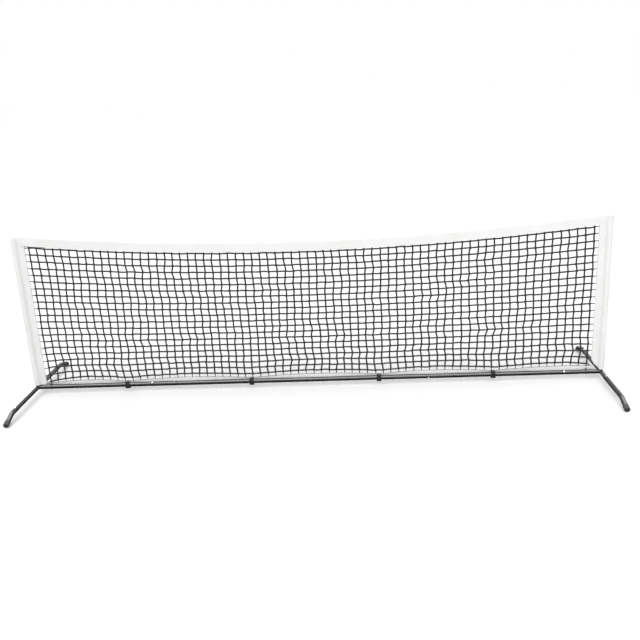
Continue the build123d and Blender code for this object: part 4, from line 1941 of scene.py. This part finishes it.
@dataclass
class CornerTie:
    """The thin cord that ties a lower corner of the net to the rail."""

    palette: Palette
    lines: NetLines
    end: End
    diameter: float = 2.8 * MM
    from_post: float = 80 * MM
    rise: float = 46 * MM  # its top above the rail's axis
    front: float = 3.0 * MM
    length: float = 0.123
    first_drop: float = 9 * MM
    second_rise: float = 28 * MM
    clearance: float = 0.4 * MM
    hem_step: float = 3.4 * MM  # how much further out it goes behind, over the hem
    hem_lift: float = 1.06
    side_step: float = 3.4 * MM  # along the rail, in one turn
    turn_start: float = 12.0  # degrees from the top, by the front
    turn_angle: float = 336.0
    turn_points: int = 14
    knot_sizes: Point = (3.6 * MM, 2.9 * MM, 3.2 * MM)
    knot_step: Point = (0.0, -1.2 * MM, 1.0 * MM)
    knot_groove: float = 0.13
    knot_turns: Pair = (9.0, 3.0)

    def route(self) -> list[Point]:
        """The tie's points: down from the net, once round the rail and the hem, up to its knot.

        Returns:
            The points.
        """
        lines = self.lines
        x = self.end.value * (lines.post - self.from_post)
        rises = (self.rise, self.rise - self.first_drop, self.second_rise)
        points = [(x, -self.front, lines.rail_height + rise) for rise in rises]
        snug = lines.rail_radius + self.diameter / 2 + self.clearance
        for index in range(self.turn_points + 1):
            share = index / self.turn_points
            angle = math.radians(self.turn_start + self.turn_angle * share)
            behind = max(0.0, -math.sin(angle))
            reach = snug + self.hem_step * behind**0.5
            step = self.end.value * self.side_step * share
            lift = self.hem_lift if behind else 1.0
            z = lines.rail_height + reach * math.cos(angle) * lift
            points.append((x + step, -reach * math.sin(angle), z))
        return points

    def build(self) -> None:
        """Makes the tie and its knot."""
        side = self.end.side
        curve = bpy.data.curves.new(f"{side}_tie_cord", "CURVE")
        curve.dimensions = "3D"
        curve.bevel_depth = self.diameter / 2
        curve.bevel_resolution = 3
        curve.use_fill_caps = True
        curve.resolution_u = 8
        spline = curve.splines.new("NURBS")
        route = self.route()
        spline.points.add(len(route) - 1)
        for point, place in zip(spline.points, route):
            point.co = (*place, 1.0)
        spline.order_u = 3
        spline.use_endpoint_u = True
        tie = Workshop.add(f"{side}_tie_cord", curve)
        Workshop.present(tie, self.palette.head_cord, Slot.CORD, node=f"{side}_corner_tie")
        knot = self.knot(route[-1], f"{side}_tie_knot")

    def knot(self, at: Point, name: str) -> Piece:
        """Models the tie's knot: a lump with two turns pressed into it.

        Args:
            at: The end of the tie.
            name: Name of the new piece.

        Returns:
            The knot.
        """
        Workshop.clear_selection()
        bpy.ops.mesh.primitive_uv_sphere_add(segments=20, ring_count=14, radius=1.0)
        piece = Workshop.take(name)
        shape = Workshop.points(piece)
        across, up = self.knot_turns
        grooves = 1 + self.knot_groove * np.cos(shape[:, 0] * across + shape[:, 2] * up)
        centre = np.array(at) + self.knot_step
        Workshop.move_points(piece, shape * grooves[:, None] * self.knot_sizes + centre)
        Workshop.smooth(piece)
        Workshop.present(piece, self.palette.head_cord, Slot.CORD)
        return piece


@dataclass
class Strap:
    """A hook-and-loop strap that holds the hem to the rail."""

    palette: Palette
    lines: NetLines
    hem: BottomBand
    number: int
    width: float = 25 * MM
    webbing: float = 1.6 * MM
    slack: float = 6.0 * MM  # how far it hangs off the rail below
    tab_start: float = 62.0  # the loose end's start and stop, in degrees from the top by the front
    tab_stop: float = 214.0
    loop_stop: float = 292.0  # where it leaves the rail behind, in the same degrees
    loop_points: tuple[int, int, int] = (5, 44, 6)  # in front, round the rail and behind
    head_rise: float = 1.5 * MM  # of its two ends above the hem's edge
    hem_clearance: float = 0.2 * MM
    rail_clearance: float = 0.35 * MM
    hem_slack: float = 0.6 * MM
    hem_lead: float = 1.35  # how soon the hem pushes it off the rail
    tab_lift: float = 1.6 * MM  # of the loose end's free edge
    tab_taper: float = 0.35
    end_rounding: float = 5 * MM
    skew: Wave = Wave(0.5 * MM, 70.0, turn=1.0)
    edge_roll: float = 0.25 * MM
    edge_radius: float = 0.35 * MM
    edge_segments: int = 2
    stitch_inset: float = 3 * MM
    steps: tuple[int, int] = (12, 90)

    @property
    def x(self) -> float:
        """The strap's place along the rail."""
        return self.lines.straps[self.number - 1]

    def loop(self) -> Array:
        """The strap's middle line seen along the rail, from the hem's front round to its back.

        Returns:
            The line as (n, 2) of Y and Z from the rail's axis.
        """
        lines = self.lines
        head, out = self.hem.spine(np.array([self.x]), np.array([-self.head_rise]))
        head, out = head[0] - (0, lines.rail_height), out[0]
        stand_off = self.hem.mouth_gap + self.webbing / 2 + self.hem_clearance
        front, back = head - out * stand_off, head + out * stand_off
        snug = lines.rail_radius + self.webbing / 2 + self.rail_clearance
        slope = math.acos(snug / np.hypot(*front)) - math.atan2(front[0], front[1])
        before, along, after = self.loop_points
        angles = np.linspace(slope, math.radians(self.loop_stop), along)
        low = np.clip(-np.cos(angles), 0, 1)
        behind = np.clip(-np.sin(angles) * self.hem_lead, 0, 1)
        over_hem = 2 * self.hem.fold_gap + self.hem_slack
        reach = snug + self.slack * low**1.5 + over_hem * behind
        ring = np.stack([-reach * np.sin(angles), reach * np.cos(angles)], axis=1)
        lead = np.linspace(front, ring[0], before)[:-1]
        tail = np.linspace(ring[-1], back, after)[1:]
        return np.concatenate([lead, ring, tail])

    def tab(self) -> Array:
        """The middle line of the loose end, which sticks to the outside of the loop.

        Returns:
            The line as (n, 2) of Y and Z from the rail's axis.
        """
        loop = self.loop()
        angles = np.degrees(np.arctan2(-loop[:, 0], loop[:, 1])) % 360
        chosen = loop[(angles > self.tab_start) & (angles < self.tab_stop)]
        away = chosen / np.linalg.norm(chosen, axis=1, keepdims=True)
        share = np.linspace(0, 1, len(chosen))[:, None]
        lift = self.webbing * 1.04 + self.tab_lift * np.clip(1 - share * 7, 0, 1) ** 2
        return chosen + away * lift

    def strip(self, name: str, line: Array, taper: float) -> Piece:
        """Lays a strip of webbing along a line.

        Args:
            name: Name of the new object.
            line: The strip's middle line, as (n, 2) of Y and Z from the rail's axis.
            taper: How much narrower the strip is at its first end, as a share.

        Returns:
            The new object.
        """
        length = run_lengths(line)

        def place(u: Array, v: Array) -> Array:
            """Lays the strip: u across it and v along it.

            Args:
                u: Shares across it.
                v: Shares along it.

            Returns:
                The points.
            """
            run = v * length[-1]
            y = np.interp(run, length, line[:, 0])
            z = np.interp(run, length, line[:, 1])
            width = self.width * (1 - taper * np.clip(1 - run / self.end_rounding, 0, 1) ** 2)
            x = self.x + (0.5 - u) * width + self.skew.at(run, self.number)
            roll = self.edge_roll * (2 * u - 1) ** 4 / np.maximum(np.hypot(y, z), 1 * MM)
            height = self.lines.rail_height
            return np.stack([x, y - roll * y, z - roll * z + height], axis=1)

        piece = Workshop.cloth(name, self.steps, (self.width, float(length[-1])), place)
        Workshop.thicken(piece, self.webbing, 0.0)
        bevel = piece.modifiers.new("edge", "BEVEL")
        bevel.width = self.edge_radius
        bevel.segments = self.edge_segments
        bevel.limit_method = "ANGLE"
        bevel.angle_limit = math.radians(CLOTH_EDGE)
        bpy.ops.object.modifier_apply(modifier=bevel.name)
        Workshop.smooth(piece, WEBBING_EDGE)
        return piece

    def stitches(self, line: Array) -> Piece:
        """Sews the strap's two ends to the hem with short rows across.

        Args:
            line: The strap's middle line.

        Returns:
            The stitches.
        """
        half = self.width / 2 - self.stitch_inset
        x = np.array([self.x - half, self.x + half])
        height = self.lines.rail_height
        seams = []
        for index, ahead in ((1, 2), (-2, -1), (2, 3), (-3, -2)):
            spot = line[index]
            run = line[ahead] - line[index]
            normal = np.array([run[1], -run[0]]) / np.hypot(*run)
            if np.dot(normal, spot) < 0:
                normal = -normal
            outer = spot + normal * self.webbing / 2
            points = np.stack([x, np.full(2, outer[0]), np.full(2, outer[1] + height)], axis=1)
            seams.append((points, np.tile((0.0, *normal), (2, 1))))
        name = f"strap_{self.number}_stitches"
        return Stitching.sew(name, seams, self.palette.black_thread, Slot.WEBBING)

    def build(self) -> None:
        """Makes the strap, its loose end and its stitches."""
        name = f"strap_{self.number}"
        line = self.loop()
        loop = self.strip(f"{name}_loop", line, 0.0)
        tab = self.strip(f"{name}_tab", self.tab(), self.tab_taper)
        piece = Workshop.join(f"{name}_webbing", [loop, tab])
        Workshop.present(piece, self.palette.webbing, Slot.WEBBING, node=name)
        self.stitches(line)


@dataclass
class Studio:
    """The pale floor, the soft light and the camera."""

    palette: Palette
    floor_size: float = 60.0
    sky_bands: tuple[tuple[float, float], ...] = (  # sine of the elevation, strength
        (-1.0, 0.04), (-0.09, 0.04), (-0.07, 1.0), (0.12, 1.0), (0.5, 0.92),
    )
    sun_power: float = 1.2
    sun_spread: float = 50.0  # degrees across
    sun_place: Point = (0.0, 0.0, 4.0)
    sun_aim: Point = (0.24, 0.55, -1.0)
    fill_power: float = 40.0
    fill_place: Point = (1.6, -4.6, 1.6)
    fill_target: Point = (0.2, 0.0, 0.3)
    fill_size: float = 3.0
    gloss_power: float = 1200.0
    gloss_place: Point = (0.0, -1.0, 3.6)
    gloss_size: Pair = (9.0, 8.0)
    camera_place: Point = (0.2782, -3.8542, 1.6842)
    pitch: float = 16.747  # down, in degrees
    yaw: float = 2.941  # to the left
    roll: float = -2.782
    lens: float = 41.83
    sensor: float = 36.0
    far_clip: float = 200.0
    shift: Pair = (-0.0070, -0.0363)

    def build_floor(self) -> None:
        """Lays the floor."""
        Workshop.clear_selection()
        bpy.ops.mesh.primitive_plane_add(size=self.floor_size)
        floor = Workshop.take("studio_floor")
        self.palette.paper.put_on(floor)
        floor.visible_glossy = False
        floor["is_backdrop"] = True

    def hang(self, lamp: bpy.types.Light, place: Sequence[float], aim: Vector) -> Piece:
        """Puts a lamp in its place, turned along a direction, and returns its object.

        Args:
            lamp: The lamp.
            place: Where it hangs.
            aim: The direction that it shines in.

        Returns:
            The lamp's object.
        """
        holder = Workshop.add(lamp.name, lamp)
        holder.location = place
        holder.rotation_euler = aim.to_track_quat("-Z", "Y").to_euler()
        return holder

    def build_light(self) -> None:
        """Hangs the broad overhead light, the fill and the canopy that gloss reflects."""
        sun = bpy.data.lights.new("overhead_light", "SUN")
        sun.energy = self.sun_power
        sun.angle = math.radians(self.sun_spread)
        self.hang(sun, self.sun_place, Vector(self.sun_aim))
        fill = bpy.data.lights.new("fill_softbox", "AREA")
        fill.shape = "SQUARE"
        fill.size = self.fill_size
        fill.energy = self.fill_power
        self.hang(fill, self.fill_place, Vector(self.fill_target) - Vector(self.fill_place))
        canopy = bpy.data.lights.new("gloss_canopy", "AREA")
        canopy.shape = "RECTANGLE"
        canopy.size, canopy.size_y = self.gloss_size
        canopy.energy = self.gloss_power
        holder = self.hang(canopy, self.gloss_place, Vector((0.0, 0.0, -1.0)))
        holder.visible_diffuse = False
        holder.visible_camera = False

    def build_sky(self) -> None:
        """Makes the even surrounding light, which is dark below the horizon."""
        world = bpy.data.worlds.new("studio")
        world.use_nodes = True
        nodes = world.node_tree.nodes
        links = world.node_tree.links
        coords = nodes.new("ShaderNodeTexCoord")
        height = nodes.new("ShaderNodeSeparateXYZ")
        share = nodes.new("ShaderNodeMapRange")
        share.inputs["From Min"].default_value = -1.0
        bands = nodes.new("ShaderNodeValToRGB")
        links.new(coords.outputs["Generated"], height.inputs[0])
        links.new(height.outputs[2], share.inputs["Value"])
        links.new(share.outputs[0], bands.inputs[0])
        stops = bands.color_ramp.elements
        for index, (sine, strength) in enumerate(self.sky_bands):
            place = (sine + 1) / 2
            stop = stops.new(place) if index else stops[0]
            stop.position = place
            stop.color = (strength, strength, strength, 1.0)
        stops[-1].color = (*[self.sky_bands[-1][1]] * 3, 1.0)
        links.new(bands.outputs[0], nodes["Background"].inputs["Strength"])
        nodes["Background"].inputs["Color"].default_value = (1.0, 1.0, 1.0, 1.0)
        bpy.context.scene.world = world
        bpy.context.scene.view_settings.view_transform = "Standard"

    def build_camera(self) -> None:
        """Sets the camera up."""
        camera = bpy.data.cameras.new("camera")
        camera.lens = self.lens
        camera.sensor_width = self.sensor
        camera.shift_x, camera.shift_y = self.shift
        camera.clip_end = self.far_clip
        holder = Workshop.add("camera", camera)
        stand = Matrix.Translation(self.camera_place)
        turn = Matrix.Rotation(math.radians(self.yaw), 4, "Z")
        tilt = Matrix.Rotation(math.radians(90 - self.pitch), 4, "X")
        bank = Matrix.Rotation(math.radians(self.roll), 4, "Z")
        holder.matrix_world = stand @ turn @ tilt @ bank
        bpy.context.scene.camera = holder

    def build(self) -> None:
        """Sets the studio up."""
        self.build_floor()
        self.build_light()
        self.build_sky()
        self.build_camera()


def corners(box: Sequence[Sequence[float]]) -> list[list[float]]:
    """A box's two corners as plain lists."""
    return [[float(value) for value in corner] for corner in box]


def main() -> None:
    """Loads the frame and builds every sub-assembly in order."""
    logging.basicConfig(level=logging.INFO, format="%(message)s")
    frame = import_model()
    cad_box = corners(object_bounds())
    palette = Palette()
    lines = NetLines.from_frame()
    hem = BottomBand(palette, lines)
    Studio(palette).build()
    LOG.info("studio ready")
    TubeFrame(palette).dress(frame["nodes"])
    LOG.info("frame dressed: %d nodes", len(frame["nodes"]))
    builders = {
        "mouth lips": MouthLips(palette, lines),
        "weld beads": WeldBeads(palette, lines),
        "netting": Netting(palette, lines),
        "head cord": HeadCord(palette, lines),
        "top band": TopBand(palette, lines),
        "bottom band": hem,
        "left sleeve": Sleeve(palette, lines, End.LEFT),
        "right sleeve": Sleeve(palette, lines, End.RIGHT, cut=RIGHT_WEB_CUT),
        "left tie": CornerTie(palette, lines, End.LEFT),
        "right tie": CornerTie(palette, lines, End.RIGHT),
    }
    for number in STRAPS:
        builders[f"strap {number}"] = Strap(palette, lines, hem, number)
    for name, builder in builders.items():
        builder.build()
        LOG.info("built %s", name)
    {"cad": cad_box, "visual": corners(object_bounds())}


if __name__ == "__main__":
    main()
